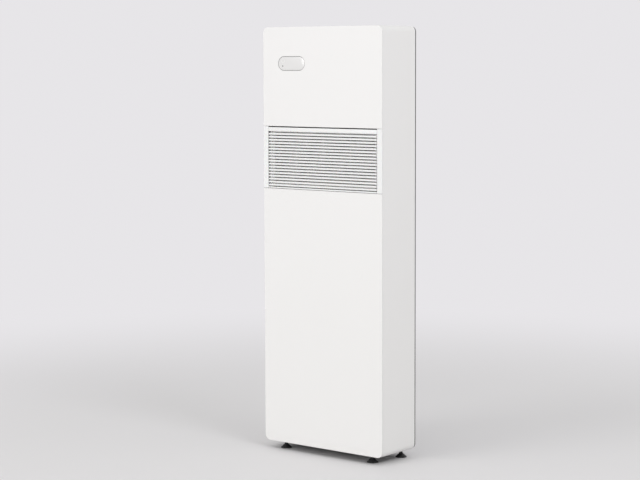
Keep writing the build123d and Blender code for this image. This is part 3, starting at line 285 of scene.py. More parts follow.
def array(obj, step, count):
    """Repeats an object's mesh a number of times at a step."""
    apply_modifier(
        obj,
        "ARRAY",
        use_relative_offset=False,
        use_constant_offset=True,
        constant_offset_displace=Vector(step) * MM,
        count=count,
    )


def copies(obj, offsets):
    """The object and its copies at these offsets, each with its own mesh."""
    made = [obj]
    for offset in offsets:
        make_active(obj)
        bpy.ops.object.duplicate(linked=False)
        copy = bpy.context.object
        bpy.ops.transform.translate(value=Vector(offset) * MM)
        apply_place(copy)
        made.append(copy)
    return made


def join(name, parts):
    make_active(parts[0])
    for part in parts:
        part.select_set(True)
    bpy.ops.object.join()
    parts[0].name = name
    parts[0].data.name = name
    return parts[0]


def cut(obj, cutter):
    """Takes one object's space out of another and deletes the cutter."""
    apply_modifier(obj, "BOOLEAN", operation="DIFFERENCE", object=cutter, solver="EXACT")
    bpy.data.objects.remove(cutter)


def place_piece(obj, body, slot, replaced=(), angle=SMOOTHING):
    """Finishes a piece: shading, material, the body it rides on and the nodes it stands for."""
    apply_place(obj)
    bpy.ops.object.shade_smooth_by_angle(angle=math.radians(angle))
    obj.data.materials.clear()
    obj.data.materials.append(MATERIALS[slot])
    obj.data.name = obj.name
    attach(obj, body)
    if replaced:
        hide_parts(*replaced)


# Materials

MATERIALS = {}

# Sockets of the Mix node for colours
MIX_FACTOR, MIX_FIRST, MIX_SECOND, MIX_RESULT = 0, 6, 7, 2

# Zinc flakes: their share of the colour and the range of their brightness
FLAKE_SHARE = 0.35
FLAKE_RANGE = (0.6, 1.2)
LOWEST_ROUGHNESS = 0.02


def node(tree, kind, place, **values):
    """Adds a shader node and sets its properties and sockets."""
    made = tree.nodes.new(kind)
    made.location = place
    for key, value in values.items():
        if key in made.inputs:
            made.inputs[key].default_value = value
        else:
            setattr(made, key, value)
    return made


def map_range(tree, place, source, smooth=False, **values):
    """A Map Range node that reads a socket. Underscores in the values' names stand for spaces."""
    made = node(tree, "ShaderNodeMapRange", place)
    if smooth:
        made.interpolation_type = "SMOOTHSTEP"
    for key, value in values.items():
        made.inputs[key.replace("_", " ")].default_value = value
    tree.links.new(source, made.inputs["Value"])
    return made.outputs["Result"]


def shade(rgb, factor):
    return tuple(min(1.0, c * factor) for c in rgb) + (1.0,)


def uneven_colour(tree, place, source, rgb, variation):
    """A colour that goes from a little darker to a little lighter as a socket's value rises."""
    tint = node(tree, "ShaderNodeMix", place, data_type="RGBA")
    tint.inputs[MIX_FIRST].default_value = shade(rgb, 1.0 - variation)
    tint.inputs[MIX_SECOND].default_value = shade(rgb, 1.0 + variation)
    tree.links.new(source, tint.inputs[MIX_FACTOR])
    return tint.outputs[MIX_RESULT]


def add_flakes(tree, colour_out, cells, target):
    """Multiplies a colour by the brightness of zinc flakes."""
    flakes = node(tree, "ShaderNodeMix", (-300, 300), data_type="RGBA", blend_type="MULTIPLY")
    flakes.inputs[MIX_FACTOR].default_value = FLAKE_SHARE
    tree.links.new(colour_out, flakes.inputs[MIX_FIRST])
    grey = node(tree, "ShaderNodeRGBToBW", (-500, 0))
    tree.links.new(cells, grey.inputs["Color"])
    low, high = FLAKE_RANGE
    lift = map_range(tree, (-400, 100), grey.outputs["Val"], To_Min=low, To_Max=high)
    tree.links.new(lift, flakes.inputs[MIX_SECOND])
    tree.links.new(flakes.outputs[MIX_RESULT], target)


def surface(
    name,
    rgb,
    roughness,
    spread=0.06,
    variation=0.02,
    blotches=6.0,
    grain=(900.0, 0.00003, 0.25),
    pattern="grain",
    metallic=0.0,
    stretch=(1.0, 1.0, 1.0),
    **sockets,
):
    """A finish with uneven colour and gloss and a fine relief.

    spread is how far the roughness goes up and down, variation how far the colour does, and
    blotches the scale of both. grain holds the relief's scale, its depth in metres and its
    strength.
    """
    material = bpy.data.materials.new(name)
    material.use_nodes = True
    tree = material.node_tree
    link = tree.links.new
    shader = tree.nodes["Principled BSDF"]
    shader.inputs["Metallic"].default_value = metallic
    for key, value in sockets.items():
        shader.inputs[key.replace("_", " ")].default_value = value
    place = node(tree, "ShaderNodeTexCoord", (-1200, 0))
    mapping = node(tree, "ShaderNodeMapping", (-1000, 0), Scale=stretch)
    link(place.outputs["Object"], mapping.inputs["Vector"])

    broad = node(
        tree, "ShaderNodeTexNoise", (-800, 250), Scale=blotches, Detail=4.0, Roughness=0.6
    )
    link(mapping.outputs["Vector"], broad.inputs["Vector"])
    tint = uneven_colour(tree, (-500, 300), broad.outputs["Fac"], rgb, variation)
    link(tint, shader.inputs["Base Color"])

    scale, depth, relief_strength = grain
    relief_place = (-800, -250)
    if pattern in ("cells", "spangle"):
        relief = node(tree, "ShaderNodeTexVoronoi", relief_place, Scale=scale)
        relief_out = relief.outputs["Distance"]
    elif pattern == "threads":
        relief = node(tree, "ShaderNodeTexWave", relief_place, Scale=scale, Distortion=0.6)
        relief_out = relief.outputs["Fac"]
    else:
        relief = node(
            tree, "ShaderNodeTexNoise", relief_place, Scale=scale, Detail=3.0, Roughness=0.55
        )
        relief_out = relief.outputs["Fac"]
    link(mapping.outputs["Vector"], relief.inputs["Vector"])
    if pattern == "spangle":
        add_flakes(tree, tint, relief.outputs["Color"], shader.inputs["Base Color"])

    gloss = map_range(
        tree,
        (-500, 0),
        broad.outputs["Fac"],
        To_Min=max(LOWEST_ROUGHNESS, roughness - spread),
        To_Max=min(1.0, roughness + spread),
    )
    link(gloss, shader.inputs["Roughness"])

    bump = node(tree, "ShaderNodeBump", (-300, -250), Strength=relief_strength, Distance=depth)
    link(relief_out, bump.inputs["Height"])
    link(bump.outputs["Normal"], shader.inputs["Normal"])
    MATERIALS[name] = material


def make_materials(casing, display):
    """One finish for each of the model's material slots, and a near-black one for the base pan, as
    painted shade under the casing.
    """
    surface(
        "white_coat", tuple(casing.coat_colour), 0.42, spread=0.05, variation=0.006, blotches=3.0,
        grain=(750.0, 0.00004, 0.35), Coat_Weight=0.06, Coat_Roughness=0.3,
    )
    surface(
        "white_plastic", tuple(casing.plastic_colour), 0.5, spread=0.05, variation=0.008,
        blotches=5.0, grain=(1600.0, 0.00003, 0.25), Subsurface_Weight=0.03,
    )
    surface(
        "lens_grey", tuple(display.lens_colour), 0.16, spread=0.03, variation=0.01, blotches=12.0,
        grain=(60.0, 0.00001, 0.1), Coat_Weight=0.5,
    )
    # Dark trim: on the post gaskets its dark is partly painted shade of the gaps there
    surface(
        "dark_trim", tuple(casing.trim_and_gap_shade_colour), 0.55, spread=0.08, variation=0.12, blotches=40.0,
        grain=(1400.0, 0.00004, 0.35),
    )
    # Black foam of the wall seal: its near-black is partly painted shade of the gap against the wall
    surface(
        "black_foam", tuple(casing.wall_seal_shade_colour), 0.95, spread=0.04, variation=0.3, blotches=160.0,
        grain=(700.0, 0.0005, 0.8), pattern="cells", Sheen_Weight=0.15,
    )
    surface(
        "grey_foam", (0.40, 0.40, 0.41), 0.92, spread=0.05, variation=0.12, blotches=90.0,
        grain=(420.0, 0.0006, 0.7), pattern="cells", Sheen_Weight=0.1,
    )
    surface(
        "galvanised", (0.60, 0.61, 0.62), 0.38, spread=0.12, variation=0.05, blotches=20.0,
        grain=(110.0, 0.00002, 0.12), pattern="spangle", metallic=1.0,
    )
    surface(
        "steel", (0.63, 0.63, 0.62), 0.3, spread=0.08, variation=0.05, blotches=60.0,
        grain=(900.0, 0.00002, 0.25), metallic=1.0,
    )
    surface(
        "fins", (0.88, 0.89, 0.90), 0.42, spread=0.1, variation=0.05, blotches=30.0,
        grain=(500.0, 0.00003, 0.2), metallic=1.0,
    )
    surface(
        "copper", (0.76, 0.42, 0.28), 0.32, spread=0.14, variation=0.18, blotches=45.0,
        grain=(700.0, 0.00003, 0.2), metallic=1.0,
    )
    surface(
        "compressor_black", (0.025, 0.025, 0.027), 0.35, spread=0.1, variation=0.15, blotches=25.0,
        grain=(260.0, 0.00008, 0.3), Coat_Weight=0.2,
    )
    surface(
        "motor_grey", (0.30, 0.31, 0.32), 0.45, spread=0.1, variation=0.08, blotches=40.0,
        grain=(800.0, 0.00004, 0.3),
    )
    surface(
        "wheel_plastic", (0.10, 0.10, 0.105), 0.5, spread=0.07, variation=0.1, blotches=30.0,
    )
    surface(
        "foot_black", (0.022, 0.022, 0.023), 0.58, spread=0.08, variation=0.2, blotches=80.0,
        grain=(1200.0, 0.00006, 0.5),
    )
    surface(
        "rubber_black", (0.024, 0.024, 0.024), 0.75, spread=0.08, variation=0.25, blotches=90.0,
        grain=(600.0, 0.00008, 0.5),
    )
    surface(
        "hose_grey", (0.46, 0.46, 0.47), 0.5, spread=0.06, variation=0.06, blotches=30.0,
        grain=(90.0, 0.0006, 0.8), pattern="threads", stretch=(0.02, 0.02, 1.0),
    )
    surface(
        "board_green", (0.03, 0.17, 0.075), 0.35, spread=0.08, variation=0.3, blotches=220.0,
        grain=(500.0, 0.00005, 0.5),
    )
    # Near-black base pan: painted shade that deepens the dark under the casing
    surface(
        "pan_black", (0.03, 0.03, 0.032), 0.5, spread=0.08, variation=0.15, blotches=20.0,
        grain=(500.0, 0.00005, 0.4),
    )
    surface(
        "mesh_grey", (0.42, 0.425, 0.43), 0.6, spread=0.08, variation=0.1, blotches=50.0,
    )


# Pieces

# Nodes given a near-black finish as painted shade: the black base pan deepens the shade under the
# casing
SHADE_DARKENING_FINISHES = {"base_pan": "pan_black"}


class AC_OT_finishes(bpy.types.Operator):
    """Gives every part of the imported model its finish"""

    bl_idname = "ac.finishes"
    bl_label = "Finishes"

    def execute(self, context):
        make_materials(context.scene.ac_casing, context.scene.ac_display)
        for subpart in frame["record"]["subparts"]:
            # The base pan takes a near-black finish as painted shade under the casing
            finish = SHADE_DARKENING_FINISHES.get(subpart["node"], subpart["material_slot"])
            material = MATERIALS[finish]
            mesh = frame["nodes"][subpart["node"]].data
            if not mesh.materials:
                mesh.materials.append(material)
            for index in range(len(mesh.materials)):
                mesh.materials[index] = material
        return {"FINISHED"}


GRILLE_X = 229.0
GRILLE_Y = (-92.5, -80.0)
GRILLE_Z = (888.0, 1091.6)
TOP_BAND = 13.4
BOTTOM_BAND = 4.3
BAND_ROUNDING = 0.5
SLAT_END = 1.2
LAST_SLOT = 894.5
RIB_PLACES = (-114.0, 0.0, 114.0)
RIB_HALF = 0.5
RIB_FRONT = -83.4
RIB_ROUNDING = 0.3
SIDE_BAR = (222.0, 226.5)
BAND_OVERLAP = 1.0
PIN_HEIGHT = 892.0
PIN_DEPTH = -88.5
PIN_RADIUS = 2.0
PIN_END = 231.4
PIN_ROOT = 2.0
PIN_CHAMFER = 0.4


class AC_OT_intake_grille(bpy.types.Operator):
    """Models the louvred intake grille with its bands, ribs and hinge pins"""

    bl_idname = "ac.intake_grille"
    bl_label = "Intake grille"

    def slats(self, grille):
        """The slats, each of which climbs towards its back edge."""
        face = grille.slat_face / MM
        rise = grille.slat_rise / MM
        pitch = grille.slat_pitch / MM
        half = GRILLE_X - SLAT_END
        front = GRILLE_Y[0]
        back = front + grille.slat_depth / MM
        low = LAST_SLOT + pitch / 2 - (face + rise) / 2
        slat = block("slat", (-half, half), (front, back), (low, low + face))
        begin_edit(slat)
        choose(slat, "FACE", lambda f: abs(f.calc_center_median().y - back * MM) < NEAR)
        bpy.ops.transform.translate(value=(0, 0, rise * MM))
        choose(slat, "EDGE", lambda e: edge_run(e, 0) > WHOLE_WIDTH)
        bpy.ops.mesh.bevel(offset=grille.slat_rounding, segments=3, affect="EDGES")
        end_edit()
        array(slat, (0, 0, pitch), grille.slat_count)
        return slat

    def execute(self, context):
        parts = [self.slats(context.scene.ac_grille)]
        low, high = GRILLE_Z
        width = (-GRILLE_X, GRILLE_X)
        bands = {"top_band": (high - TOP_BAND, high), "bottom_band": (low, low + BOTTOM_BAND)}
        for name, z in bands.items():
            parts.append(block(name, width, GRILLE_Y, z, BAND_ROUNDING, segments=3))
        y = (RIB_FRONT, GRILLE_Y[1])
        z = (low + BAND_OVERLAP, high - BAND_OVERLAP)
        for x in RIB_PLACES:
            parts.append(block("rib", (x - RIB_HALF, x + RIB_HALF), y, z, RIB_ROUNDING))
        reach = PIN_END - GRILLE_X + PIN_ROOT
        pin_profile = (
            (0, 0),
            (PIN_RADIUS, 0),
            (PIN_RADIUS, reach - PIN_CHAMFER),
            (PIN_RADIUS - PIN_CHAMFER, reach),
            (0, reach),
        )
        for side in LEFT_AND_RIGHT:
            parts.append(block("side_bar", side_span(side, *SIDE_BAR), y, z, RIB_ROUNDING))
            root = (side * (GRILLE_X - PIN_ROOT), PIN_DEPTH, PIN_HEIGHT)
            parts.append(spun("pin", root, (side, 0, 0), pin_profile, steps=24))
        piece = join("louvre_grille", parts)
        place_piece(piece, "intake_grille", "white_plastic", ("intake_grille",))
        return {"FINISHED"}


FILTER_X = 222.0
FILTER_Y = (-79.8, -74.0)
FILTER_Z = (896.0, 1084.0)
FILTER_BAR = 9.0
FILTER_ROUNDING = 0.8
FILTER_RIBS = (-142.0, -71.0, 0.0, 71.0, 142.0)
FILTER_RIB_HALF = 1.0
FILTER_RIB_STEP = 0.4
FILTER_OVERLAP = 1.0
NET_Y = -77.0
NET_PITCH = 1.8
NET_WIRE = 0.16
NET_EDGE = 0.9
NET_SIDES = 6


class AC_OT_filter(bpy.types.Operator):
    """Models the air filter: a ribbed frame with a woven net"""

    bl_idname = "ac.filter"
    bl_label = "Air filter"

    def execute(self, context):
        inner_x = FILTER_X - FILTER_BAR
        low, high = FILTER_Z
        inner_low = low + FILTER_BAR
        inner_high = high - FILTER_BAR
        parts = []
        for z in ((low, inner_low), (inner_high, high)):
            parts.append(block("rail", (-FILTER_X, FILTER_X), FILTER_Y, z, FILTER_ROUNDING))
        for side in LEFT_AND_RIGHT:
            x = side_span(side, FILTER_X, inner_x)
            parts.append(block("stile", x, FILTER_Y, FILTER_Z, FILTER_ROUNDING))
        width = (-inner_x - FILTER_OVERLAP, inner_x + FILTER_OVERLAP)
        height = (inner_low - FILTER_OVERLAP, inner_high + FILTER_OVERLAP)
        y = (NET_Y + FILTER_RIB_STEP, FILTER_Y[1] - FILTER_RIB_STEP)
        for x in FILTER_RIBS:
            rib = block("rib", (x - FILTER_RIB_HALF, x + FILTER_RIB_HALF), y, height, RIB_ROUNDING)
            parts.append(rib)
        middle = (inner_low + inner_high) / 2
        z = (middle - FILTER_RIB_HALF, middle + FILTER_RIB_HALF)
        parts.append(block("rib", width, y, z, RIB_ROUNDING))
        piece = join("filter_rails", parts)
        place_piece(piece, "intake_grille", "white_plastic", ("filter_frame",))

        x = -inner_x + NET_EDGE
        upright = tube("upright", (x, NET_Y, height[0]), (x, NET_Y, height[1]), NET_WIRE, NET_SIDES)
        array(upright, (NET_PITCH, 0, 0), int((2 * inner_x - 1) / NET_PITCH))
        z = inner_low + NET_EDGE
        across = tube("across", (width[0], NET_Y, z), (width[1], NET_Y, z), NET_WIRE, NET_SIDES)
        array(across, (0, 0, NET_PITCH), int((inner_high - inner_low - 1) / NET_PITCH))
        net = join("filter_net", [upright, across])
        place_piece(net, "intake_grille", "mesh_grey", ("filter_mesh",))
        return {"FINISHED"}


TUBE_RADIUS = 3.5
COLUMN_GAP = 19.0
END_PLATE = 1.5
END_PLATE_ROUNDING = 0.3
FIN_FOLDS = 6
COILS = {
    "evaporator": {"x": 207.0, "y": (-64.0, -30.0), "z": (898.0, 1092.0), "rows": 8},
    "condenser": {"x": 205.0, "y": (-46.0, -8.0), "z": (350.0, 606.0), "rows": 10},
}


class AC_OT_coils(bpy.types.Operator):
    """Models both finned coils with close corrugated fins"""

    bl_idname = "ac.coils"
    bl_label = "Coils"

    def fins(self, settings, half, depth, height):
        """The fins, each folded to and fro along its depth."""
        pitch = settings.fin_pitch / MM
        thickness = settings.fin_thickness / MM
        count = int((2 * half - 2 * END_PLATE) / pitch)
        first = -pitch * (count - 1) / 2
        fin = block("fin", (first - thickness / 2, first + thickness / 2), depth, height)
        begin_edit(fin)
        front, back = depth
        folds = [front + (back - front) * i / FIN_FOLDS for i in range(1, FIN_FOLDS)]
        for y in folds:
            bpy.ops.mesh.select_all(action="SELECT")
            bpy.ops.mesh.bisect(plane_co=(0, y * MM, 0), plane_no=(0, 1, 0))
        for index, y in enumerate(folds):
            choose(fin, "VERT", lambda v: abs(v.co.y - y * MM) < NEAR)
            wave = settings.fin_wave * (1 if index % 2 else -1)
            bpy.ops.transform.translate(value=(wave, 0, 0))
        end_edit()
        array(fin, (pitch, 0, 0), count)
        return fin

    def execute(self, context):
        for name, coil in COILS.items():
            half = coil["x"]
            depth = coil["y"]
            height = coil["z"]
            parts = [self.fins(context.scene.ac_coil, half, depth, height)]
            for side in LEFT_AND_RIGHT:
                x = side_span(side, half, half - END_PLATE)
                parts.append(block("end_plate", x, depth, height, END_PLATE_ROUNDING))
            row = (height[1] - height[0]) / coil["rows"]
            z = height[0] + row / 2
            for column in (-COLUMN_GAP / 2, COLUMN_GAP / 2):
                y = (depth[0] + depth[1]) / 2 + column
                pipe = tube("pipe", (-half, y, z), (half, y, z), TUBE_RADIUS, sides=12)
                array(pipe, (0, 0, row), coil["rows"])
                parts.append(pipe)
            piece = join(f"{name}_finned", parts)
            place_piece(piece, "cabinet", "fins", (f"{name}_coil",))
        return {"FINISHED"}


STUD_RADIUS = 5.0
STUD_ROOT = 4.15
STUD_LOW = 4.08
STUD_HIGH = 45.0
THREAD_PITCH = 1.5
THREAD_STEPS = 24
# Radius and height of the points of one turn of the thread
THREAD_PROFILE = (
    (STUD_ROOT, 0),
    (STUD_ROOT, 0.2),
    (STUD_RADIUS, 0.75),
    (STUD_RADIUS, 0.95),
    (STUD_ROOT, THREAD_PITCH),
)
COLLAR_Z = (11.0, 15.0)
COLLAR_WIDTH = 12.0
COLLAR_ROUNDING = 0.35
PAD_RADIUS = 19.0
PAD_NECK = 11.0
PAD_HEIGHT = 10.0
SOCKET_RADIUS = 5.08
SOCKET_FLOOR = 4.0
# From the hollow underside over the rim and the neck into the socket
PAD_PROFILE = (
    (0, 0.6),
    (14.5, 0.6),
    (15.0, 0),
    (PAD_RADIUS - 0.6, 0),
    (PAD_RADIUS, 0.6),
    (PAD_RADIUS, 2.0),
    (PAD_RADIUS - 0.5, 2.6),
    (PAD_RADIUS - 1.6, 3.1),
    (PAD_NECK + 1.4, 7.6),
    (PAD_NECK + 0.2, 9.4),
    (PAD_NECK - 0.6, PAD_HEIGHT),
    (SOCKET_RADIUS + 0.4, PAD_HEIGHT),
    (SOCKET_RADIUS, PAD_HEIGHT - 0.4),
    (SOCKET_RADIUS, SOCKET_FLOOR),
    (0, SOCKET_FLOOR),
)


class AC_OT_feet(bpy.types.Operator):
    """Models the levelling feet: a moulded pad and a threaded stud with a spanner collar"""

    bl_idname = "ac.feet"
    bl_label = "Levelling feet"

    def thread(self, x, y):
        """A helical thread, cut off flat at both ends."""
        start = STUD_LOW - THREAD_PITCH
        points = [Vector((r, 0, start + h)) * MM for r, h in THREAD_PROFILE]
        obj = draw_profile("thread", points)
        end_edit()
        apply_modifier(
            obj,
            "SCREW",
            angle=math.tau,
            screw_offset=THREAD_PITCH * MM,
            iterations=int((STUD_HIGH - start) / THREAD_PITCH) + 1,
            steps=THREAD_STEPS,
            render_steps=THREAD_STEPS,
            use_merge_vertices=True,
            merge_threshold=THREAD_MERGE,
        )
        begin_edit(obj)
        for height, outer in ((STUD_LOW, False), (STUD_HIGH, True)):
            bpy.ops.mesh.select_all(action="SELECT")
            bpy.ops.mesh.bisect(
                plane_co=(0, 0, height * MM),
                plane_no=(0, 0, 1),
                use_fill=True,
                clear_inner=not outer,
                clear_outer=outer,
            )
        weld(THREAD_WELD)
        bpy.ops.mesh.select_all(action="SELECT")
        bpy.ops.transform.translate(value=(x * MM, y * MM, 0))
        end_edit()
        return obj

    def collar(self, x, y):
        """The hexagon that a spanner turns."""
        clear_selection()
        low, high = COLLAR_Z
        bpy.ops.mesh.primitive_cylinder_add(
            vertices=6,
            radius=COLLAR_WIDTH / math.sqrt(3) * MM,
            depth=(high - low) * MM,
            location=(x * MM, y * MM, (low + high) / 2 * MM),
        )
        obj = bpy.context.object
        apply_place(obj)
        round_edges(obj, COLLAR_ROUNDING)
        return obj

    def execute(self, context):
        for corner in CORNERS:
            low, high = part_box(f"foot_pad_{corner}")
            x = (low.x + high.x) / 2 / MM
            y = (low.y + high.y) / 2 / MM
            pad = spun(f"levelling_pad_{corner}", (x, y, 0), (0, 0, 1), PAD_PROFILE, steps=64)
            node_name = f"foot_pad_{corner}"
            place_piece(pad, node_name, "foot_black", (node_name,), FOOT_SMOOTHING)
            stud = join(f"threaded_stud_{corner}", [self.thread(x, y), self.collar(x, y)])
            node_name = f"foot_stud_{corner}"
            place_piece(stud, node_name, "foot_black", (node_name,), FOOT_SMOOTHING)
        return {"FINISHED"}


SCREW_X = 232.0
SCREW_HEIGHTS = (100.0, 400.0, 700.0, 1000.0, 1300.0)
CASE_BACK = 85.5
SCREW_RADIUS = 3.5
SCREW_SHANK = 1.95
SCREW_LENGTH = 6.0
SCREW_DOME = 2.0
RECESS_ARM = 1.9
RECESS_HALF = 0.42
RECESS_DEPTH = 1.2
# Radius and height above the sheet, from the point to the domed head
SCREW_PROFILE = (
    (0, -SCREW_LENGTH),
    (SCREW_SHANK - 0.9, -SCREW_LENGTH + 0.3),
    (SCREW_SHANK, -SCREW_LENGTH + 1.6),
    (SCREW_SHANK, 0),
    (SCREW_RADIUS, 0),
    (SCREW_RADIUS, 0.7),
    (SCREW_RADIUS - 0.35, 1.35),
    (SCREW_RADIUS - 1.2, 1.8),
    (1.0, 1.98),
    (0, SCREW_DOME),
)


class AC_OT_screws(bpy.types.Operator):
    """Models the casing screws with a cross recess"""

    bl_idname = "ac.screws"
    bl_label = "Casing screws"

    def execute(self, context):
        first = (SCREW_X, SCREW_HEIGHTS[0])
        place = (first[0], CASE_BACK, first[1])
        screw = spun("screw", place, (0, 1, 0), SCREW_PROFILE, steps=32)
        head_top = CASE_BACK + SCREW_DOME
        arms = [
            block(
                "arm",
                (first[0] - across, first[0] + across),
                (head_top - RECESS_DEPTH, head_top + 1),
                (first[1] - upright, first[1] + upright),
            )
            for across, upright in ((RECESS_ARM, RECESS_HALF), (RECESS_HALF, RECESS_ARM))
        ]
        for arm in arms:
            cut(screw, arm)
        offsets = [
            (x - first[0], 0, z - first[1])
            for x in (-SCREW_X, SCREW_X)
            for z in SCREW_HEIGHTS
            if (x, z) != first
        ]
        piece = join("cross_head_screws", copies(screw, offsets))
        place_piece(piece, "cabinet", "steel", ("casing_screws",))
        return {"FINISHED"}


CASE_BOTTOM = 26.0
CASE_TOP = 1424.0
CASE_SIDE = 250.0
CORNER_RADIUS = 20.0
CORNER_SEGMENTS = 10
# Angle in radians between two faces past which a ring's edge is an outline edge
OUTLINE_ANGLE = 1.2
SEAL_INSET = 1.5
SEAL_WIDTH = 10.0
SEAL_Y = (85.5, 92.5)
SEAL_ROUNDING = 1.1
INSULATION_X = 222.0
INSULATION_Y = (71.5, 82.0)
INSULATION_Z = (905.0, 1395.0)
INSULATION_ROUNDING = 1.6
HOOK_POCKETS = ((-140.0, -80.0), (80.0, 140.0))
HOOK_POCKET_Z = (1248.0, 1290.0)


def rounded_ring(name, inset, width, y):
    """A flat ring inside the casing's outline, left in edit mode with its outline edges chosen."""
    clear_selection()
    front, back = y
    bpy.ops.mesh.primitive_plane_add(
        size=1,
        location=(0, front * MM, (CASE_TOP + CASE_BOTTOM) / 2 * MM),
        rotation=(math.pi / 2, 0, 0),
    )
    ring = bpy.context.object
    ring.name = name
    ring.scale = (2 * (CASE_SIDE - inset) * MM, (CASE_TOP - CASE_BOTTOM - 2 * inset) * MM, 1)
    apply_place(ring)
    begin_edit(ring)
    bpy.ops.mesh.select_all(action="SELECT")
    bevel_chosen(CORNER_RADIUS - inset, CORNER_SEGMENTS, "VERTICES")
    bpy.ops.mesh.select_mode(type="FACE")
    bpy.ops.mesh.select_all(action="SELECT")
    bpy.ops.mesh.inset(thickness=width * MM, depth=0)
    bpy.ops.mesh.delete(type="FACE")
    bpy.ops.mesh.select_all(action="SELECT")
    bpy.ops.mesh.extrude_region_move(
        TRANSFORM_OT_translate={"value": (0, (back - front) * MM, 0)}
    )
    bpy.ops.mesh.select_all(action="SELECT")
    bpy.ops.mesh.normals_make_consistent(inside=False)
    choose(
        ring,
        "EDGE",
        lambda e: edge_run(e, 1) < EXACT and e.calc_face_angle(0) > OUTLINE_ANGLE,
    )
    return ring


class AC_OT_foam(bpy.types.Operator):
    """Models the foam seal against the wall, whose near-black is partly painted shade of the gap at
    the wall, and the foam slab behind the blower
    """

    bl_idname = "ac.foam"
    bl_label = "Foam"

    def execute(self, context):
        # The seal's near-black is partly painted shade of the gap against the wall
        seal = rounded_ring("foam_seal", SEAL_INSET, SEAL_WIDTH, SEAL_Y)
        bevel_chosen(SEAL_ROUNDING, segments=3)
        end_edit()
        place_piece(seal, "cabinet", "black_foam", ("rear_seal",), SOFT_SMOOTHING)

        width = (-INSULATION_X, INSULATION_X)
        slab = block("foam_slab", width, INSULATION_Y, INSULATION_Z)
        through = (INSULATION_Y[0] - 1, INSULATION_Y[1] + 1)
        for x in HOOK_POCKETS:
            cut(slab, block("pocket", x, through, HOOK_POCKET_Z))
        rounding = INSULATION_ROUNDING * MM
        apply_modifier(slab, "BEVEL", width=rounding, segments=3, limit_method="ANGLE")
        place_piece(slab, "cabinet", "grey_foam", ("rear_insulation",), SOFT_SMOOTHING)
        return {"FINISHED"}


STRIP_INSET = 0.45
STRIP_WIDTH = 2.2
STRIP_Y = (-89.5, -88.0)
STRIP_ROUNDING = 0.25
# Dark gaskets set into the gaps at the grille's posts, partly painted shade of those gaps
# Spans along x, y and z on the right side, and the rounding
POST_GAP_SHADE_GASKETS = (
    ((230.6, 249.6), (-92.1, -89.6), (886.6, 887.4), 0.2),
    ((229.35, 229.97), (-90.5, -80.0), (896.0, 1090.0), 0.15),
)


class AC_OT_trim(bpy.types.Operator):
    """Models the white strip in the casing's seam and the dark gaskets at the grille's posts, which
    are partly painted shade of the gaps there
    """

    bl_idname = "ac.trim"
    bl_label = "Seam trim"

    def execute(self, context):
        strip = rounded_ring("seam_strip", STRIP_INSET, STRIP_WIDTH, STRIP_Y)
        bevel_chosen(STRIP_ROUNDING, segments=2)
        end_edit()
        place_piece(strip, "cabinet", "white_plastic", angle=SOFT_SMOOTHING)
        # The dark gaskets are partly painted shade of the gaps at the posts
        gaskets = [
            block("gasket", side_span(side, *x), y, z, rounding)
            for side in LEFT_AND_RIGHT
            for x, y, z, rounding in POST_GAP_SHADE_GASKETS
        ]
        place_piece(join("post_gaskets", gaskets), "cabinet", "dark_trim")
        return {"FINISHED"}


DISPLAY_X = -127.0
DISPLAY_Z = 1303.6
LENS_WIDTH = 111.1
LENS_HEIGHT = 44.1
LENS_Y = (-92.5, -90.3)
LENS_ROUNDING = 0.4
# The round ends stop just short of a half circle, so that no edge is of no length
END_GAP = 0.01
DOT_PLACE = (-164.4, LENS_Y[0], 1295.2)
DOT_RADIUS = 2.2
DOT_CLEARANCE = 0.1
KEY_PLACE = (-164.0, LENS_Y[0], 1313.0)
KEY_RADIUS = 6.4
GROOVE_HALF = 0.9
RING_HALF = 0.75
RING_CROWN = 0.6
INLAY_DEPTH = 0.35
# The dot and the ring lie just above the floor of their recess
INLAY_FLOOR = -INLAY_DEPTH + 0.01
# Radius and height above the lens
GROOVE_PROFILE = (
    (KEY_RADIUS - GROOVE_HALF, -INLAY_DEPTH),
    (KEY_RADIUS + GROOVE_HALF, -INLAY_DEPTH),
    (KEY_RADIUS + GROOVE_HALF, 1),
    (KEY_RADIUS - GROOVE_HALF, 1),
    (KEY_RADIUS - GROOVE_HALF, -INLAY_DEPTH),
)
DOT_PROFILE = (
    (0, INLAY_FLOOR),
    (DOT_RADIUS, INLAY_FLOOR),
    (DOT_RADIUS, -0.25),
    (DOT_RADIUS * 0.7, -0.08),
    (0, -0.02),
)
RING_PROFILE = (
    (KEY_RADIUS - RING_HALF, INLAY_FLOOR),
    (KEY_RADIUS + RING_HALF, INLAY_FLOOR),
    (KEY_RADIUS + RING_CROWN, -0.1),
    (KEY_RADIUS, -0.03),
    (KEY_RADIUS - RING_CROWN, -0.1),
    (KEY_RADIUS - RING_HALF, INLAY_FLOOR),
)


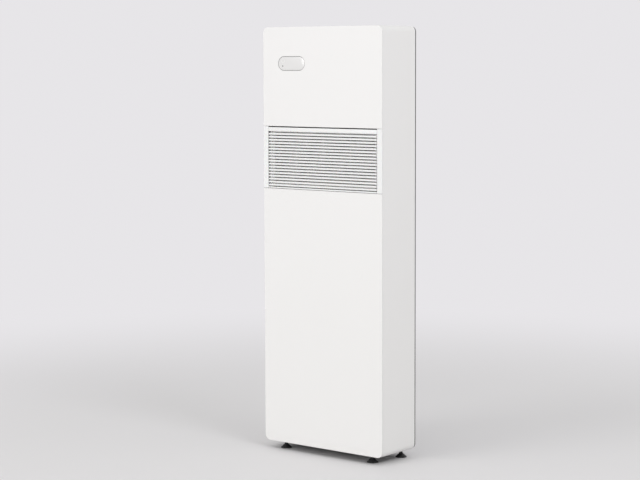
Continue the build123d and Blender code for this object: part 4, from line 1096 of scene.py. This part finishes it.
class AC_OT_display(bpy.types.Operator):
    """Models the display's window with its sensor and touch ring"""

    bl_idname = "ac.display"
    bl_label = "Display"

    def execute(self, context):
        outwards = (0, -1, 0)
        front = LENS_Y[0]
        lens = block(
            "display_window",
            (DISPLAY_X - LENS_WIDTH / 2, DISPLAY_X + LENS_WIDTH / 2),
            LENS_Y,
            (DISPLAY_Z - LENS_HEIGHT / 2, DISPLAY_Z + LENS_HEIGHT / 2),
        )
        begin_edit(lens)
        choose(lens, "EDGE", lambda e: edge_run(e, 1) > FLAT)
        bevel_chosen(LENS_HEIGHT / 2 - END_GAP, segments=20)
        choose(lens, "FACE", lambda f: abs(f.calc_center_median().y - front * MM) < EXACT)
        bpy.ops.mesh.region_to_loop()
        bevel_chosen(LENS_ROUNDING, segments=3)
        end_edit()
        x, y, z = DOT_PLACE
        hole_radius = DOT_RADIUS + DOT_CLEARANCE
        cut(lens, tube("hole", (x, y - 1, z), (x, y + INLAY_DEPTH, z), hole_radius, sides=32))
        cut(lens, spun("groove", KEY_PLACE, outwards, GROOVE_PROFILE, steps=48))
        place_piece(lens, "cabinet", "lens_grey", ("display_lens",))

        dot = spun("sensor_dot", DOT_PLACE, outwards, DOT_PROFILE, steps=32)
        place_piece(dot, "cabinet", "dark_trim")
        ring = spun("touch_ring", KEY_PLACE, outwards, RING_PROFILE, steps=48)
        place_piece(ring, "cabinet", "white_plastic")
        return {"FINISHED"}


# Stage: places and sizes here are in metres

# Camera, from the casing's edges in the picture
CAMERA_PLACE = (3.7287, -4.6529, 1.3055)
CAMERA_YAW = 0.6863
CAMERA_PITCH = 0.0983
CAMERA_ROLL = -0.0033
CAMERA_LENS = 101.064
SENSOR_WIDTH = 36.0
CAMERA_REACH = 100.0

FLOOR_RADIUS = 40.0
FLOOR_ROUGHNESS = 0.6
FLOOR_SPECULAR = 0.2
FLOOR_VARIATION = 0.01
# The floor fades into the background between these distances
FADE_START = 1.0
FADE_END = 3.6
# The even light grows from the horizon to this height of its direction
HORIZON_LOW = 0.0
HORIZON_HIGH = 0.4
SKY_TINT = (1.0, 0.998, 0.995, 1.0)
LAMPS = {
    "key": {
        "place": (-2.4, -7.5, 2.5),
        "aim": (0, 0, 0.6),
        "size": 4.5,
        "tint": (1.0, 0.995, 0.985),
    },
    "fill": {
        "place": (4.6, -1.2, 4.0),
        "aim": (0, 0, 0.8),
        "size": 2.5,
        "tint": (0.985, 0.99, 1.0),
    },
}


class AC_OT_stage(bpy.types.Operator):
    """Lays the floor and sets up the background, the lamps and the camera"""

    bl_idname = "ac.stage"
    bl_label = "Stage"

    def floor(self, stage):
        """A plain floor that takes the shadow and fades into the background."""
        clear_selection()
        bpy.ops.mesh.primitive_circle_add(
            vertices=96, radius=FLOOR_RADIUS, fill_type="NGON", location=(0, 0, 0)
        )
        ground = bpy.context.object
        ground.name = "studio_floor"
        material = bpy.data.materials.new("studio_floor")
        material.use_nodes = True
        tree = material.node_tree
        link = tree.links.new
        shader = tree.nodes["Principled BSDF"]
        shader.inputs["Roughness"].default_value = FLOOR_ROUGHNESS
        shader.inputs["Specular IOR Level"].default_value = FLOOR_SPECULAR
        place = node(tree, "ShaderNodeTexCoord", (-900, 0))
        cloud = node(tree, "ShaderNodeTexNoise", (-700, 200), Scale=1.4, Detail=3.0)
        link(place.outputs["Object"], cloud.inputs["Vector"])
        tint = uneven_colour(
            tree, (-450, 200), cloud.outputs["Fac"], stage.floor_colour, FLOOR_VARIATION
        )
        link(tint, shader.inputs["Base Color"])
        distance = node(tree, "ShaderNodeVectorMath", (-700, -200), operation="LENGTH")
        link(place.outputs["Object"], distance.inputs[0])
        fade = map_range(
            tree,
            (-450, -200),
            distance.outputs["Value"],
            smooth=True,
            From_Min=FADE_START,
            From_Max=FADE_END,
        )
        glow = node(tree, "ShaderNodeEmission", (-200, -300), Color=shade(stage.back_colour, 1.0))
        mix = node(tree, "ShaderNodeMixShader", (200, 0))
        output = tree.nodes["Material Output"]
        output.location = (400, 0)
        link(fade, mix.inputs[0])
        link(shader.outputs["BSDF"], mix.inputs[1])
        link(glow.outputs["Emission"], mix.inputs[2])
        link(mix.outputs["Shader"], output.inputs["Surface"])
        ground.data.materials.append(material)

    def background(self, stage):
        """Even light that weakens towards the floor, and a plain colour where it is seen."""
        world = bpy.data.worlds.new("studio")
        bpy.context.scene.world = world
        world.use_nodes = True
        tree = world.node_tree
        tree.nodes.clear()
        link = tree.links.new
        direction = node(tree, "ShaderNodeTexCoord", (-1000, 300))
        height = node(tree, "ShaderNodeSeparateXYZ", (-800, 300))
        link(direction.outputs["Generated"], height.inputs[0])
        level = map_range(
            tree,
            (-600, 300),
            height.outputs["Z"],
            smooth=True,
            From_Min=HORIZON_LOW,
            From_Max=HORIZON_HIGH,
            To_Min=stage.sky * stage.horizon,
            To_Max=stage.sky,
        )
        light = node(tree, "ShaderNodeBackground", (-200, 100), Color=SKY_TINT)
        link(level, light.inputs["Strength"])
        seen = node(
            tree,
            "ShaderNodeBackground",
            (-200, -100),
            Color=shade(stage.back_colour, 1.0),
            Strength=1.0,
        )
        path = node(tree, "ShaderNodeLightPath", (-700, 0))
        either = node(tree, "ShaderNodeMath", (-450, 0), operation="MAXIMUM")
        link(path.outputs["Is Camera Ray"], either.inputs[0])
        link(path.outputs["Is Glossy Ray"], either.inputs[1])
        any_of_three = node(tree, "ShaderNodeMath", (-350, -100), operation="MAXIMUM")
        link(either.outputs[0], any_of_three.inputs[0])
        link(path.outputs["Is Transmission Ray"], any_of_three.inputs[1])
        mix = node(tree, "ShaderNodeMixShader", (0, 0))
        link(any_of_three.outputs[0], mix.inputs[0])
        link(light.outputs[0], mix.inputs[1])
        link(seen.outputs[0], mix.inputs[2])
        output = node(tree, "ShaderNodeOutputWorld", (200, 0))
        link(mix.outputs[0], output.inputs["Surface"])

    def lamp(self, name, energy, place, aim, size, tint):
        """A round soft lamp that shines at a point."""
        clear_selection()
        direction = Vector(aim) - Vector(place)
        bpy.ops.object.light_add(
            type="AREA", location=place, rotation=direction.to_track_quat("-Z", "Y").to_euler()
        )
        lamp = bpy.context.object
        lamp.name = name
        lamp.data.shape = "DISK"
        lamp.data.size = size
        lamp.data.energy = energy
        lamp.data.color = tint

    def camera(self):
        clear_selection()
        bpy.ops.object.camera_add(location=CAMERA_PLACE)
        camera = bpy.context.object
        camera.name = "studio_camera"
        sine, cosine = math.sin(CAMERA_YAW), math.cos(CAMERA_YAW)
        level = math.cos(CAMERA_PITCH)
        forward = Vector((-sine * level, cosine * level, -math.sin(CAMERA_PITCH)))
        right = Vector((cosine, sine, 0))
        up = right.cross(forward)
        turned_right = right * math.cos(CAMERA_ROLL) + up * math.sin(CAMERA_ROLL)
        turned_up = up * math.cos(CAMERA_ROLL) - right * math.sin(CAMERA_ROLL)
        columns = (turned_right, turned_up, -forward, Vector(CAMERA_PLACE))
        camera.matrix_world = Matrix((*zip(*columns), (0, 0, 0, 1)))
        camera.data.lens = CAMERA_LENS
        camera.data.sensor_width = SENSOR_WIDTH
        camera.data.sensor_fit = "HORIZONTAL"
        camera.data.clip_end = CAMERA_REACH
        bpy.context.scene.camera = camera

    def execute(self, context):
        stage = context.scene.ac_stage
        self.floor(stage)
        self.background(stage)
        for name, lamp in LAMPS.items():
            self.lamp(f"{name}_lamp", getattr(stage, name), **lamp)
        self.camera()
        context.scene.view_settings.view_transform = "Standard"
        return {"FINISHED"}


OPERATORS = (
    AC_OT_finishes,
    AC_OT_intake_grille,
    AC_OT_filter,
    AC_OT_coils,
    AC_OT_feet,
    AC_OT_screws,
    AC_OT_foam,
    AC_OT_trim,
    AC_OT_display,
    AC_OT_stage,
)

GROUPS = {
    "ac_casing": CasingSettings,
    "ac_grille": GrilleSettings,
    "ac_coil": CoilSettings,
    "ac_display": DisplaySettings,
    "ac_stage": StageSettings,
}


class AC_PT_panel(bpy.types.Panel):
    """Lists the object's pieces and their settings"""

    bl_idname = "AC_PT_panel"
    bl_label = "Air conditioner"
    bl_space_type = "VIEW_3D"
    bl_region_type = "UI"
    bl_category = "Air conditioner"

    def draw(self, context):
        for operator in OPERATORS:
            self.layout.operator(operator.bl_idname)
        for group in GROUPS:
            settings = getattr(context.scene, group)
            for key in settings.bl_rna.properties.keys():
                if key not in ("rna_type", "name"):
                    self.layout.prop(settings, key)


def register():
    for cls in (*GROUPS.values(), *OPERATORS, AC_PT_panel):
        bpy.utils.register_class(cls)
    for name, cls in GROUPS.items():
        setattr(bpy.types.Scene, name, PointerProperty(type=cls))


def unregister():
    for name in GROUPS:
        delattr(bpy.types.Scene, name)
    for cls in (AC_PT_panel, *reversed(OPERATORS), *reversed(GROUPS.values())):
        bpy.utils.unregister_class(cls)


def main():
    register()
    for operator in OPERATORS:
        group, name = operator.bl_idname.split(".")
        getattr(getattr(bpy.ops, group), name)()
    clear_selection()


if __name__ == "__main__":
    main()
